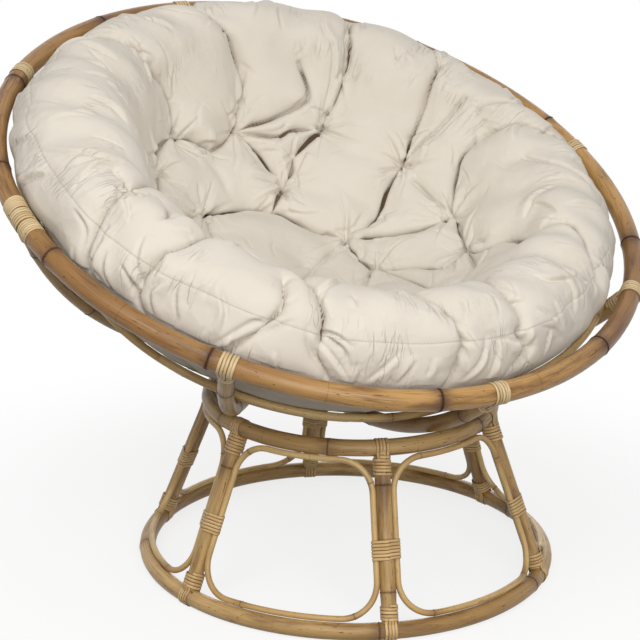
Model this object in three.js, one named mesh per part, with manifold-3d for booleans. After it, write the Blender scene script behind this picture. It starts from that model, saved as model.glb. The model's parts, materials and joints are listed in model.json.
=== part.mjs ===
// A papasan chair, in millimetres: +Z up, front at -Y, origin on the floor under the middle of the base.
// A round bowl of bent rattan poles rests, tilted forward, in the top ring of a six-legged rattan base.
// The bowl holds a thick tufted cushion. Split cane strips bind every joint between two poles.
import * as THREE from "three";
import { mergeVertices } from "three/addons/utils/BufferGeometryUtils.js";
import Module from "manifold-3d";

const { degToRad } = THREE.MathUtils;
const wasm = await Module();
wasm.setup();

// Base: two rings joined by slanted legs, a closed cane loop in each panel between two legs.
const topRingRadius = 235;
const bottomRingRadius = 338;
const ringRise = 265.5;
const ringPole = 13.5;
const legPole = 12.5;
const legCount = 6;
const legPhase = degToRad(-21.4);
const panelCane = 5;
const panelCornerRadius = 55;
const lashingPlaceShare = 0.56;

// Bowl: the ribs follow a sphere, and the rim, two thin inner hoops and a bottom hoop tie them together.
const rimRadius = 540;
const bowlDepth = 344;
const rimPole = 16.5;
const ribPole = 12.8;
const ribCount = 8;
const bottomHoopPole = 12.8;
const hoopCane = 6.5;
const upperHoopDrop = 33;
const midHoopDrop = 163;
const midHoopLap = degToRad(45);
const midHoopStart = degToRad(-63);
const spliceRib = 6;
const bowlTilt = degToRad(23.4);

// Bindings: split cane, flat inside and ridged outside.
const stripWidth = 5;
const stripThick = 1.2;
const stripSpace = 0.8;
const collarTurns = 3;
const lashingTurns = 4;
const spliceTurns = 2;
const footFlat = 0.5;

// Cushion: a thick dished disc, sewn down by two rings of tufts, with folds running out to its edge.
const cushionThick = 170;
const cushionRimRoom = 120;
const innerTufts = 5;
const outerTufts = 11;
const outerTuftRoom = 158;
const innerTuftRoom = 126;
const tuftDepth = 40;
const tuftReach = 62;
const foldDepth = 20;
const foldSharpness = 8;
const edgeDraw = 9;
const firstTuft = degToRad(15);
const innerTuftTurnShare = 0.2;

// Clearances between pieces that touch on the real chair.
const seatGap = 0.3;
const bindingGap = 0.3;
const panelGap = 0.5;

// Colours of the pole skins, the strips and the cotton.
const finishes = {
  rim: { color: 0xb48951, roughness: 0.38 },
  pole: { color: 0xa9825a, roughness: 0.45 },
  cane: { color: 0xc0a271, roughness: 0.5 },
  strip: { color: 0xcdb488, roughness: 0.55 },
  cotton: { color: 0xe0dacb, roughness: 0.92 },
};

// Facets: poles are octagons, thin canes are hexagons.
const poleSides = 8;
const caneSides = 6;
const octant = (2 * Math.PI) / poleSides;
const flatShare = Math.cos(octant / 2);
const ringSpans = 48;
const upperHoopSpans = 40;
const bottomHoopSpans = 24;
const ribSpans = 12;
const cornerSpans = 5;
const panelEndSpans = 5;
const cushionSpansPerTuft = 5;

// Places that follow from the sizes above.
const ribSphere = (rimRadius ** 2 + bowlDepth ** 2) / (2 * bowlDepth);
const rimPolar = Math.asin(rimRadius / ribSphere);
const rimDrop = ribSphere - bowlDepth;
const stripPitch = stripWidth + stripSpace;
const legSlope = Math.atan2(bottomRingRadius - topRingRadius, ringRise);
const legLength = Math.hypot(bottomRingRadius - topRingRadius, ringRise);
const ringBindingReach = ringPole + bindingGap + stripThick;
const lowestTurn = legSlope - octant * Math.round(legSlope / octant);
const bottomRingHeight = ringBindingReach * Math.cos(lowestTurn) - footFlat;
const topRingHeight = bottomRingHeight + ringRise;
const bowlSkin = Math.max(ribPole, bottomHoopPole) * flatShare;
const seatReach = ribSphere + bowlSkin + seatGap + ringBindingReach;
const bowlCentreHeight = topRingHeight + Math.sqrt(seatReach ** 2 - topRingRadius ** 2);

const outward = (azimuth) => new THREE.Vector3(Math.sin(azimuth), -Math.cos(azimuth), 0);
const along = (azimuth) => new THREE.Vector3(Math.cos(azimuth), Math.sin(azimuth), 0);
const up = new THREE.Vector3(0, 0, 1);
const mix = (origin, ...terms) =>
  terms.reduce((sum, [axis, amount]) => sum.addScaledVector(axis, amount), origin.clone());
const legAzimuth = (leg) => legPhase + (leg * 2 * Math.PI) / legCount;
const ribAzimuth = (rib) => (rib * 2 * Math.PI) / ribCount;

// The bowl's own frame has its origin at the rib sphere's centre and +Z out of the bowl's mouth.
const fromCentre = (polar, azimuth) =>
  mix(new THREE.Vector3(), [outward(azimuth), Math.sin(polar)], [up, -Math.cos(polar)]);
const onSphere = (radius, polar, azimuth) => fromCentre(polar, azimuth).multiplyScalar(radius);

// The bottom hoop is as wide as it must be to rest on the binding of the leg nearest to the back.
const backLeg = Array.from({ length: legCount }, (_, leg) => legAzimuth(leg)).reduce((best, azimuth) =>
  Math.cos(azimuth) < Math.cos(best) ? azimuth : best,
);
const seatPolar = Math.asin(topRingRadius / seatReach);
const bottomHoopPolar = Math.acos(
  Math.cos(bowlTilt) * Math.cos(seatPolar) - Math.sin(bowlTilt) * Math.sin(seatPolar) * Math.cos(backLeg),
);

// A regular section, as across and out distances; a vertex faces out, or a flat if turned.
function section(radius, sides, turned = false) {
  const turn = (Math.PI / sides) * (turned ? 1 : 0) + Math.PI / 2;
  return Array.from({ length: sides }, (_, k) => {
    const angle = turn + (k * 2 * Math.PI) / sides;
    return [radius * Math.cos(angle), radius * Math.sin(angle)];
  });
}

// A split cane's section: flat against the pole, ridged along its middle.
const stripSection = [
  [-stripWidth / 2, 0],
  [stripWidth / 2, 0],
  [0, stripThick],
];

// Lays one section on every station, in the plane of its across and out directions, and skins them.
function sweep(stations, outline, closed = false) {
  const sides = outline.length;
  const positions = stations.flatMap(({ at, across, out }) =>
    outline.flatMap(([a, o]) => mix(at, [across, a], [out, o]).toArray()),
  );
  const index = [];
  const spans = closed ? stations.length : stations.length - 1;
  for (let i = 0; i < spans; i++) {
    const here = i * sides;
    const next = ((i + 1) % stations.length) * sides;
    for (let j = 0; j < sides; j++) {
      const k = (j + 1) % sides;
      index.push(here + j, here + k, next + k, here + j, next + k, next + j);
    }
  }
  if (!closed) {
    const last = (stations.length - 1) * sides;
    for (let j = 1; j < sides - 1; j++) {
      index.push(0, j + 1, j);
      index.push(last, last + j, last + j + 1);
    }
  }
  const geometry = new THREE.BufferGeometry();
  geometry.setAttribute("position", new THREE.Float32BufferAttribute(positions, 3));
  geometry.setIndex(index);
  return geometry;
}

// Stations of a path whose outward directions are known at each point.
function stationsAlong(points, outs) {
  return points.map((at, i) => {
    const before = at.clone().sub(points[Math.max(i - 1, 0)]).normalize();
    const after = points[Math.min(i + 1, points.length - 1)].clone().sub(at).normalize();
    const out = outs[i].clone().normalize();
    const arriving = (i > 0 ? before : after).clone().projectOnPlane(out).normalize();
    const leaving = (i < points.length - 1 ? after : before).clone().projectOnPlane(out).normalize();
    const halfTurn = arriving.angleTo(leaving) / 2;
    const heading = arriving.add(leaving).normalize();
    const across = out.clone().cross(heading).divideScalar(Math.cos(halfTurn));
    return { at, across, out };
  });
}

// The least distance between a strip's or cane's own turns, edge to edge, on points along its middle.
function leastGap(name, points, width) {
  const samples = [];
  const stepShare = 0.25;
  let travelled = 0;
  for (let i = 1; i < points.length; i++) {
    const length = points[i].distanceTo(points[i - 1]);
    const count = Math.ceil(length / (width * stepShare));
    for (let j = 0; j < count; j++)
      samples.push({
        at: points[i - 1].clone().lerp(points[i], j / count),
        travelled: travelled + (length * j) / count,
      });
    travelled += length;
  }
  let least = Infinity;
  samples.forEach((a, i) => {
    for (let j = i + 1; j < samples.length; j++)
      if (samples[j].travelled - a.travelled > 2 * (width + stripSpace))
        least = Math.min(least, a.at.distanceTo(samples[j].at));
  });
  console.log(name, "least gap to itself", (least - width).toFixed(2), "mm");
}

function toSolid(geometry) {
  geometry.deleteAttribute("normal");
  geometry.deleteAttribute("uv");
  const merged = mergeVertices(geometry);
  return new wasm.Manifold(
    new wasm.Mesh({
      numProp: 3,
      vertProperties: merged.attributes.position.array,
      triVerts: new Uint32Array(merged.index.array),
    }),
  );
}

function toGeometry(solid) {
  const mesh = solid.getMesh();
  const geometry = new THREE.BufferGeometry();
  geometry.setAttribute("position", new THREE.BufferAttribute(mesh.vertProperties, 3));
  geometry.setIndex(new THREE.BufferAttribute(mesh.triVerts, 1));
  return geometry;
}

function piece(name, geometry, finish) {
  const shown = geometry.toNonIndexed();
  shown.computeVertexNormals();
  const mesh = new THREE.Mesh(shown, new THREE.MeshStandardMaterial(finish));
  mesh.name = name;
  return mesh;
}

// A joint's frame: `at` on the ring's centreline, `lead` down the joining pole, `side` along the ring,
// and `face` square to both. The ring's section has a vertex opposite to the joining pole.
function jointFrame(at, lead, side) {
  return { at, lead, side, face: lead.clone().cross(side).normalize() };
}

// A closed hoop of straight spans, the first of them with its middle at the phase.
function hoopStations(spans, phase, place, facing) {
  return Array.from({ length: spans }, (_, k) => {
    const azimuth = phase + ((k + 0.5) * 2 * Math.PI) / spans;
    const out = facing(azimuth);
    return { at: place(azimuth), out, across: out.clone().cross(along(azimuth)) };
  });
}

// Base frame directions at an azimuth.
const legDown = (azimuth) =>
  mix(new THREE.Vector3(), [outward(azimuth), Math.sin(legSlope)], [up, -Math.cos(legSlope)]);
const ringPoint = (radius, height, azimuth) =>
  mix(new THREE.Vector3(), [outward(azimuth), radius], [up, height]);
const topJoint = (leg) =>
  jointFrame(
    ringPoint(topRingRadius, topRingHeight, legAzimuth(leg)),
    legDown(legAzimuth(leg)),
    along(legAzimuth(leg)),
  );
const footJoint = (leg) =>
  jointFrame(
    ringPoint(bottomRingRadius, bottomRingHeight, legAzimuth(leg)),
    legDown(legAzimuth(leg)).negate(),
    along(legAzimuth(leg)),
  );

function baseRing(radius, height, facing) {
  const cornerRadius = radius / Math.cos(Math.PI / ringSpans);
  const stations = hoopStations(
    ringSpans,
    legPhase,
    (azimuth) => ringPoint(cornerRadius, height, azimuth),
    (azimuth) => legDown(azimuth).multiplyScalar(facing),
  );
  return sweep(stations, section(ringPole, poleSides), true);
}

// A straight bar square to the joining pole, used to cut that pole's end to fit over a ring.
function saddleCutter({ at, lead, side }, radius, reach) {
  const out = lead.clone().negate();
  const across = out.clone().cross(side);
  const stations = [-reach, reach].map((amount) => ({ at: mix(at, [side, amount]), across, out }));
  return toSolid(sweep(stations, section(radius, poleSides)));
}

function leg(number) {
  const top = topJoint(number);
  const foot = footJoint(number);
  const across = top.face.clone().cross(top.lead);
  const stations = [top.at, foot.at].map((at) => ({ at, across, out: top.face }));
  const cutRadius = ringPole + bindingGap;
  const solid = toSolid(sweep(stations, section(legPole, poleSides, true)))
    .subtract(saddleCutter(top, cutRadius, ringPole + legPole))
    .subtract(saddleCutter(foot, cutRadius, ringPole + legPole));
  return toGeometry(solid);
}

// One pass of strip over a ring, from one flank of the joining pole over the top to the other flank.
function saddlePass({ at, lead, side, face }, lane, ring, pole, tail, forward) {
  const middle = mix(at, [side, lane]);
  const flank = pole * flatShare + bindingGap;
  const steps = [-2, -1, 0, 1, 2].map((k) => {
    const out = mix(new THREE.Vector3(), [lead, -Math.cos(k * octant)], [face, Math.sin(k * octant)]);
    return { at: mix(middle, [out, ring + bindingGap]), out };
  });
  const tailEnd = (sign) => ({
    at: mix(middle, [lead, tail], [face, sign * flank]),
    out: face.clone().multiplyScalar(sign),
  });
  const pass = [tailEnd(-1), ...steps, tailEnd(1)];
  return forward ? pass : pass.reverse();
}

// The turns round the joining pole: the last pass bends square on the pole's flat, then winds away from it.
function collar({ at, lead, side, face }, pole, start) {
  const flank = pole * flatShare + bindingGap;
  const bend = { at: mix(at, [lead, start], [side, stripPitch], [face, flank]), out: face };
  const turns = Array.from({ length: collarTurns * poleSides }, (_, k) => {
    const angle = -(k + 0.5) * octant;
    const out = mix(new THREE.Vector3(), [face, Math.cos(angle)], [side, Math.sin(angle)]);
    const advance = start + (stripPitch * (k + 1)) / poleSides;
    return { at: mix(at, [lead, advance], [out, pole + bindingGap]), out };
  });
  return [bend, ...turns];
}

const tailLength = (ring) => ring + stripSpace;

function stripSweep(name, path) {
  const points = path.map((step) => step.at);
  leastGap(name, points, stripWidth);
  return sweep(stationsAlong(points, path.map((step) => step.out)), stripSection);
}

// A joint's binding is one strip: three passes over the ring, then turns round the joining pole.
function jointBinding(name, joint, ring, pole) {
  const tail = tailLength(ring);
  const passes = [-1, 0, 1].flatMap((lane, k) =>
    saddlePass(joint, lane * stripPitch, ring, pole, tail, k % 2 === 0),
  );
  return stripSweep(name, [...passes.slice(0, -1), ...collar(joint, pole, tail + stripPitch)]);
}

// The rim's long wrap, round its spliced ends and over the rib that meets them there.
function spliceBinding(name, joint) {
  const lanes = [-2, -1, 0, 1, 2];
  const firstTurn = 3 * stripPitch;
  const tail = tailLength(rimPole);
  const steps = spliceTurns * poleSides;
  const turnPoint = (lane, angle) => {
    const out = mix(new THREE.Vector3(), [joint.lead, -Math.cos(angle)], [joint.face, Math.sin(angle)]);
    return { at: mix(joint.at, [joint.side, lane], [out, rimPole + bindingGap]), out };
  };
  const winding = (k) => turnPoint(firstTurn + (stripPitch * k) / poleSides, Math.PI + k * octant);
  const unwinding = (k) => turnPoint(-firstTurn - (stripPitch * k) / poleSides, Math.PI - k * octant);
  const crossing = (sign) => turnPoint((sign * (firstTurn + 2 * stripPitch)) / 2, Math.PI - sign * octant);
  const passes = lanes.map((lane, k) =>
    saddlePass(joint, lane * stripPitch, rimPole, ribPole, tail, k % 2 === 0),
  );
  passes[0] = passes[0].slice(1);
  passes[passes.length - 1] = passes[passes.length - 1].slice(0, -1);
  return stripSweep(name, [
    ...Array.from({ length: steps + 1 }, (_, k) => unwinding(steps - k)),
    crossing(-1),
    ...passes.flat(),
    crossing(1),
    ...Array.from({ length: steps + 1 }, (_, k) => winding(k)),
  ]);
}

// The foot bindings carry the chair, so their undersides are flat on the floor.
function footBinding(name, number) {
  const geometry = jointBinding(name, footJoint(number), ringPole, legPole);
  const reach = 2 * (bottomRingRadius + legLength);
  const ground = new THREE.BoxGeometry(reach, reach, legLength).translate(0, 0, -legLength / 2);
  return toGeometry(toSolid(geometry).subtract(toSolid(ground)));
}

// Turns round a leg and the two panel canes beside it.
function legLashing(name, number) {
  const { at, lead, side, face } = topJoint(number);
  const caneReach = panelCane + bindingGap;
  const cornerShare = 0.8;
  const flat = { half: legPole * Math.sin(octant / 2), rise: legPole * flatShare + bindingGap };
  const end = { half: caneOffset + caneReach, rise: caneReach * cornerShare };
  const ring = [
    [flat.half, flat.rise],
    [end.half, end.rise],
    [end.half, -end.rise],
    [flat.half, -flat.rise],
    [-flat.half, -flat.rise],
    [-end.half, -end.rise],
    [-end.half, end.rise],
    [-flat.half, flat.rise],
  ];
  const wrapped = (k) => ring[((k % ring.length) + ring.length) % ring.length];
  const normal = (k) => {
    const edge = (from, to) => new THREE.Vector2(-(to[1] - from[1]), to[0] - from[0]).normalize();
    return edge(wrapped(k - 1), wrapped(k)).add(edge(wrapped(k), wrapped(k + 1))).normalize();
  };
  const start = legLength * lashingPlaceShare - (lashingTurns * stripPitch) / 2;
  const path = Array.from({ length: lashingTurns * ring.length + 1 }, (_, k) => {
    const [a, o] = wrapped(k);
    const facing = normal(k);
    return {
      at: mix(at, [lead, start + (stripPitch * k) / ring.length], [side, a], [face, o]),
      out: mix(new THREE.Vector3(), [side, facing.x], [face, facing.y]),
    };
  });
  return stripSweep(name, path);
}

// The panel loops run beside the legs and along both rings, on the cone that the legs span.
const caneOffset = legPole * flatShare + bindingGap + panelCane;
const coneShare = (bottomRingRadius - topRingRadius) / legLength;
const coneTop = topRingRadius / coneShare;

// A place on that cone: `x` beside the leg and `y` from the apex, measured on the cone laid flat.
function onCone(legNumber, x, y, mirrored) {
  const fromApex = Math.hypot(x, y);
  const turn = Math.atan2(x, y) / coneShare;
  const azimuth = mirrored ? legAzimuth(legNumber + 1) - turn : legAzimuth(legNumber) + turn;
  const down = fromApex - coneTop;
  const at = ringPoint(fromApex * coneShare, topRingHeight - down * Math.cos(legSlope), azimuth);
  const face = mix(new THREE.Vector3(), [outward(azimuth), Math.cos(legSlope)], [up, Math.sin(legSlope)]);
  return { at, azimuth, face };
}

function panelLoop(number) {
  const ringClear = ringPole + panelCane + panelGap;
  const topFromApex = coneTop + ringClear;
  const bottomFromApex = coneTop + legLength - ringClear;
  const x = caneOffset + panelCornerRadius;
  const corner = (fromApex, inward) => {
    const y = Math.sqrt((fromApex + inward * panelCornerRadius) ** 2 - x ** 2);
    const toRing = Math.atan2(x, y);
    const sideAngle = Math.PI;
    const ringAngle = inward > 0 ? Math.PI * 1.5 - toRing : Math.PI / 2 - toRing;
    return Array.from({ length: cornerSpans + 1 }, (_, k) => {
      const angle = sideAngle + ((ringAngle - sideAngle) * k) / cornerSpans;
      return [x + panelCornerRadius * Math.cos(angle), y + panelCornerRadius * Math.sin(angle)];
    });
  };
  const half = (mirrored) => {
    const top = corner(topFromApex, 1).reverse();
    const bottom = corner(bottomFromApex, -1);
    return [...top, ...bottom].map(([a, b]) => onCone(number, a, b, mirrored));
  };
  const left = half(false);
  const right = half(true).reverse();
  const ringRun = (from, to, fromApex) =>
    Array.from({ length: panelEndSpans - 1 }, (_, k) => {
      const azimuth = from.azimuth + ((to.azimuth - from.azimuth) * (k + 1)) / panelEndSpans;
      const turn = (azimuth - legAzimuth(number)) * coneShare;
      return onCone(number, fromApex * Math.sin(turn), fromApex * Math.cos(turn), false);
    });
  const bottomRun = ringRun(left[left.length - 1], right[0], bottomFromApex);
  const topRun = ringRun(right[right.length - 1], left[0], topFromApex);
  const loop = [...left, ...bottomRun, ...right, ...topRun];
  const stations = loop.map(({ at, face }, i) => {
    const before = loop[(i + loop.length - 1) % loop.length].at;
    const after = loop[(i + 1) % loop.length].at;
    const heading = after.clone().sub(before).projectOnPlane(face).normalize();
    return { at, out: face, across: face.clone().cross(heading) };
  });
  return sweep(stations, section(panelCane, caneSides, true), true);
}

// Ribs: straight spans from the rim to the bottom hoop, each end cut to fit over its hoop.
const ribPolar = (k) => rimPolar + ((bottomHoopPolar - rimPolar) * k) / ribSpans;
const ribSag = ribSphere * (1 - Math.cos((rimPolar - bottomHoopPolar) / (2 * ribSpans)));
const hoopSphere = ribSphere - ribPole * flatShare - ribSag - seatGap - hoopCane;

function rimJoint(rib) {
  const azimuth = ribAzimuth(rib);
  const at = onSphere(ribSphere, rimPolar, azimuth);
  const lead = onSphere(ribSphere, ribPolar(1), azimuth).sub(at).normalize();
  return jointFrame(at, lead, along(azimuth));
}

function ribFoot(rib) {
  const azimuth = ribAzimuth(rib);
  const at = onSphere(ribSphere, bottomHoopPolar, azimuth);
  return jointFrame(at, fromCentre(bottomHoopPolar, azimuth), along(azimuth));
}

function rib(number) {
  const azimuth = ribAzimuth(number);
  const stations = Array.from({ length: ribSpans + 1 }, (_, k) => {
    const out = fromCentre(ribPolar(k), azimuth);
    return { at: out.clone().multiplyScalar(ribSphere), out, across: along(azimuth) };
  });
  const hoopCutter = hoopBar(ribFoot(number), bottomHoopPole + bindingGap, ribPole + bottomHoopPole);
  return toGeometry(
    toSolid(sweep(stations, section(ribPole, poleSides, true)))
      .subtract(saddleCutter(rimJoint(number), rimPole + bindingGap, ribPole + rimPole))
      .subtract(hoopCutter),
  );
}

// The bottom hoop has a flat towards the ring it rests on, and so has the bar that fits the ribs to it.
function hoopBar({ at, lead, side }, radius, reach) {
  const across = lead.clone().cross(side);
  const stations = [-reach, reach].map((amount) => ({ at: mix(at, [side, amount]), across, out: lead }));
  return toSolid(sweep(stations, section(radius, poleSides, true)));
}

function rimHoop() {
  const cornerRadius = rimRadius / Math.cos(Math.PI / ringSpans);
  const { lead } = rimJoint(0);
  const slope = Math.atan2(-lead.z, lead.y);
  const stations = hoopStations(
    ringSpans,
    0,
    (azimuth) => ringPoint(cornerRadius, -rimDrop, azimuth),
    (azimuth) => mix(new THREE.Vector3(), [outward(azimuth), Math.cos(slope)], [up, Math.sin(slope)]),
  );
  return sweep(stations, section(rimPole, poleSides), true);
}

function bottomHoop() {
  const radius = ribSphere * Math.sin(bottomHoopPolar);
  const cornerRadius = radius / Math.cos(Math.PI / bottomHoopSpans);
  const stations = hoopStations(
    bottomHoopSpans,
    0,
    (azimuth) => ringPoint(cornerRadius, -ribSphere * Math.cos(bottomHoopPolar), azimuth),
    (azimuth) => fromCentre(bottomHoopPolar, azimuth),
  );
  return sweep(stations, section(bottomHoopPole, poleSides, true), true);
}

const hoopPolar = (drop) => Math.acos((rimDrop + drop) / hoopSphere);

function hoopStation(polar, azimuth) {
  const out = fromCentre(polar, azimuth);
  return { at: out.clone().multiplyScalar(hoopSphere), out, across: out.clone().cross(along(azimuth)) };
}

function upperHoop() {
  const polar = hoopPolar(upperHoopDrop);
  const stations = Array.from({ length: upperHoopSpans }, (_, k) =>
    hoopStation(polar, (k * 2 * Math.PI) / upperHoopSpans),
  );
  return sweep(stations, section(hoopCane, caneSides), true);
}

// The middle hoop is one cane whose ends lie side by side over the lap, so it winds up as it goes round.
function midHoop() {
  const turn = 2 * Math.PI + midHoopLap;
  const spans = Math.round(turn / ((2 * Math.PI) / upperHoopSpans));
  const lane = ((2 * hoopCane + stripSpace) / hoopSphere) * (turn / (2 * Math.PI));
  const polar = hoopPolar(midHoopDrop) + lane / 2;
  const stations = Array.from({ length: spans + 1 }, (_, k) =>
    hoopStation(polar - (lane * k) / spans, midHoopStart + (turn * k) / spans),
  );
  leastGap("mid_hoop", stations.map(({ at }) => at), 2 * hoopCane);
  return sweep(stations, section(hoopCane, caneSides));
}

// Cushion: rings of points from the middle of its top, round its edge, to the middle of its underside,
// which rests on the middle hoop's straight spans. Its edge keeps its room to the rim, the outer ring of
// tufts its room to the edge, and the inner ring its room to the outer one.
function cushion() {
  const sectors = cushionSpansPerTuft * outerTufts;
  const restPolar = hoopPolar(midHoopDrop);
  const hoopSag = hoopSphere * Math.sin(restPolar) ** 2 * (1 - Math.cos(Math.PI / upperHoopSpans));
  const under = hoopSphere - hoopCane - hoopSag - seatGap;
  const middle = under - cushionThick / 2;
  const edgeRadius = rimRadius - cushionRimRoom;
  const outerTuftRadius = edgeRadius - outerTuftRoom;
  const innerTuftRadius = outerTuftRadius - innerTuftRoom;
  const edgePolar = Math.asin(edgeRadius / middle);
  const roll = cushionThick / 2;
  const tuftPolar = (radius) => Math.asin(radius / (under - cushionThick));
  const innerPolar = tuftPolar(innerTuftRadius);
  const outerPolar = tuftPolar(outerTuftRadius);
  const tufts = [
    ...Array.from({ length: innerTufts }, (_, k) => [innerPolar, (k + innerTuftTurnShare) / innerTufts]),
    ...Array.from({ length: outerTufts }, (_, k) => [outerPolar, k / outerTufts]),
  ].map(([polar, turnShare]) => fromCentre(polar, firstTuft + turnShare * 2 * Math.PI));
  const bell = (distance) => Math.exp(-((distance / tuftReach) ** 2));
  const sink = (direction, radius) =>
    tufts.reduce((deepest, tuft) => Math.max(deepest, bell(direction.distanceTo(tuft) * radius)), 0);
  const fold = (azimuth) => Math.cos(((azimuth - firstTuft) * outerTufts) / 2) ** foldSharpness;
  const topShares = [0.17, 0.34, 0.44, 0.55, 0.66, 0.76, 0.86];
  const edgeShares = [0, 0.2, 0.4, 0.6, 0.8, 1];
  const underShares = [1, 0.72, 0.44, 0.2];
  const topRing = (share) => (azimuth) => {
    const direction = fromCentre(edgePolar * share, azimuth);
    const outside = THREE.MathUtils.smoothstep(edgePolar * share, outerPolar, edgePolar);
    const depth = tuftDepth * sink(direction, middle) + foldDepth * outside * fold(azimuth);
    return direction.multiplyScalar(under - cushionThick + depth);
  };
  const edgeRing = (turnShare) => (azimuth) => {
    const angle = Math.PI * turnShare;
    const drawn = roll - edgeDraw * fold(azimuth) * Math.sin(angle);
    const lowered = foldDepth * fold(azimuth) * Math.cos(angle / 2) ** 2;
    const out = fromCentre(edgePolar, azimuth);
    const away = fromCentre(edgePolar + Math.PI / 2, azimuth);
    const height = middle - roll * Math.cos(angle) + lowered;
    return mix(new THREE.Vector3(), [out, height], [away, drawn * Math.sin(angle)]);
  };
  const underRing = (share) => (azimuth) => onSphere(under, restPolar * share, azimuth);
  const rings = [...topShares.map(topRing), ...edgeShares.map(edgeRing), ...underShares.map(underRing)];
  const centreSink = tuftDepth * sink(fromCentre(0, 0), middle);
  const azimuths = Array.from({ length: sectors }, (_, k) => firstTuft + (k * 2 * Math.PI) / sectors);
  const positions = [
    onSphere(under - cushionThick + centreSink, 0, 0),
    ...rings.flatMap((ring) => azimuths.map(ring)),
    onSphere(under, 0, 0),
  ].flatMap((point) => point.toArray());
  const index = [];
  const bottom = 1 + rings.length * sectors;
  const corner = (ring, k) => 1 + ring * sectors + (k % sectors);
  for (let k = 0; k < sectors; k++) {
    index.push(0, corner(0, k), corner(0, k + 1));
    index.push(bottom, corner(rings.length - 1, k + 1), corner(rings.length - 1, k));
    for (let ring = 0; ring < rings.length - 1; ring++) {
      index.push(corner(ring, k), corner(ring + 1, k), corner(ring + 1, k + 1));
      index.push(corner(ring, k), corner(ring + 1, k + 1), corner(ring, k + 1));
    }
  }
  const geometry = new THREE.BufferGeometry();
  geometry.setAttribute("position", new THREE.Float32BufferAttribute(positions, 3));
  geometry.setIndex(index);
  return geometry;
}

function base() {
  const group = new THREE.Group();
  group.add(piece("base_ring_top", baseRing(topRingRadius, topRingHeight, -1), finishes.pole));
  group.add(piece("base_ring_bottom", baseRing(bottomRingRadius, bottomRingHeight, 1), finishes.pole));
  for (let k = 0; k < legCount; k++) {
    const number = k + 1;
    group.add(piece("leg_" + number, leg(k), finishes.pole));
    group.add(piece("panel_cane_" + number, panelLoop(k), finishes.cane));
    const topName = "leg_top_binding_" + number;
    group.add(piece(topName, jointBinding(topName, topJoint(k), ringPole, legPole), finishes.strip));
    const lashingName = "leg_mid_lashing_" + number;
    group.add(piece(lashingName, legLashing(lashingName, k), finishes.strip));
    const footName = "leg_foot_binding_" + number;
    group.add(piece(footName, footBinding(footName, k), finishes.strip));
  }
  return group;
}

// The bowl is built about its sphere's centre, then raised over the base and tilted forward.
function bowl() {
  const group = new THREE.Group();
  group.position.set(0, 0, bowlCentreHeight);
  group.rotation.x = bowlTilt;
  group.add(piece("rim_hoop", rimHoop(), finishes.rim));
  group.add(piece("upper_hoop", upperHoop(), finishes.cane));
  group.add(piece("mid_hoop", midHoop(), finishes.cane));
  group.add(piece("bottom_hoop", bottomHoop(), finishes.pole));
  for (let k = 0; k < ribCount; k++) {
    const number = k + 1;
    group.add(piece("rib_" + number, rib(k), finishes.pole));
    if (k === spliceRib) {
      const name = "rim_splice_binding";
      group.add(piece(name, spliceBinding(name, rimJoint(k)), finishes.strip));
    } else {
      const name = "rim_binding_" + number;
      group.add(piece(name, jointBinding(name, rimJoint(k), rimPole, ribPole), finishes.strip));
    }
  }
  group.add(piece("cushion", cushion(), finishes.cotton));
  return group;
}

const chair = new THREE.Group();
chair.add(base(), bowl());

export default chair;
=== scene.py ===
# A papasan chair: a round bowl of bent rattan poles on a six-legged rattan base, with a tufted cushion.
# Metres throughout, +Z up, front towards -Y, origin on the floor under the middle of the base.
import json
import math
import random
import bpy
import bmesh
import numpy as np
from mathutils import Matrix, Vector, noise


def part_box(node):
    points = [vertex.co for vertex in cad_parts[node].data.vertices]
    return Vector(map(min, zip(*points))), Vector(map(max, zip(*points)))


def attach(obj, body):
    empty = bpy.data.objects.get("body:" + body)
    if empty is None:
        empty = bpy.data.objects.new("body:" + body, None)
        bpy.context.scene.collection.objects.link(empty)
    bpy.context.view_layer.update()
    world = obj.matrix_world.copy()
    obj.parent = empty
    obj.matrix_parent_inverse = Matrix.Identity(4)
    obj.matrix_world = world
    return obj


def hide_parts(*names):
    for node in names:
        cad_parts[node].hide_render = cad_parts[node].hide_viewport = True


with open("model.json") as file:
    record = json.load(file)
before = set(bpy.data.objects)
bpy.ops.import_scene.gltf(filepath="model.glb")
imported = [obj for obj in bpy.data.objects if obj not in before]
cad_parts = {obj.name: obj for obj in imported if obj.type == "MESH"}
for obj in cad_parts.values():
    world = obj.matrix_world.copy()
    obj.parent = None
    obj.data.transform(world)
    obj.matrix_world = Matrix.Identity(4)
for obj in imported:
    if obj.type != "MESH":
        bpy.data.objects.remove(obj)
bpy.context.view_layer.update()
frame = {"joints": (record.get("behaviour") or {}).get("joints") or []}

print("frame loaded")

# Sizes that the poles, strips and cushion share. A pole's or a cane's size is its radius.
chair = dict(
    topRingRadius=0.235,
    bottomRingRadius=0.338,
    ringPole=0.0135,
    legPole=0.0125,
    legCount=6,
    legPhase=math.radians(-21.4),
    panelCane=0.005,
    panelCornerRadius=0.055,
    panelGap=0.0005,
    lashingPlace=0.56,      # share of the leg's length, from its top
    rimRadius=0.540,
    bowlDepth=0.344,
    rimPole=0.0165,
    ribPole=0.0128,
    ribCount=8,
    bottomHoopPole=0.0128,
    hoopCane=0.0065,
    upperHoopDrop=0.033,
    midHoopDrop=0.163,
    midHoopLap=math.radians(45),
    midHoopStart=math.radians(-63),
    midHoopGap=0.0008,      # between its two ends, where they lie side by side
    spliceRib=6,
    gap=0.0003,
    cushionThick=0.170,
    cushionEdgeRadius=0.420,
)
gap, legCount, ribCount, rimRadius = (chair[key] for key in ("gap", "legCount", "ribCount", "rimRadius"))
ringPole, legPole, panelCane = (chair[key] for key in ("ringPole", "legPole", "panelCane"))
rimPole, ribPole, hoopCane = (chair[key] for key in ("rimPole", "ribPole", "hoopCane"))


def jointNamed(name):
    return next(joint for joint in frame["joints"] if joint["name"] == name)


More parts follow.
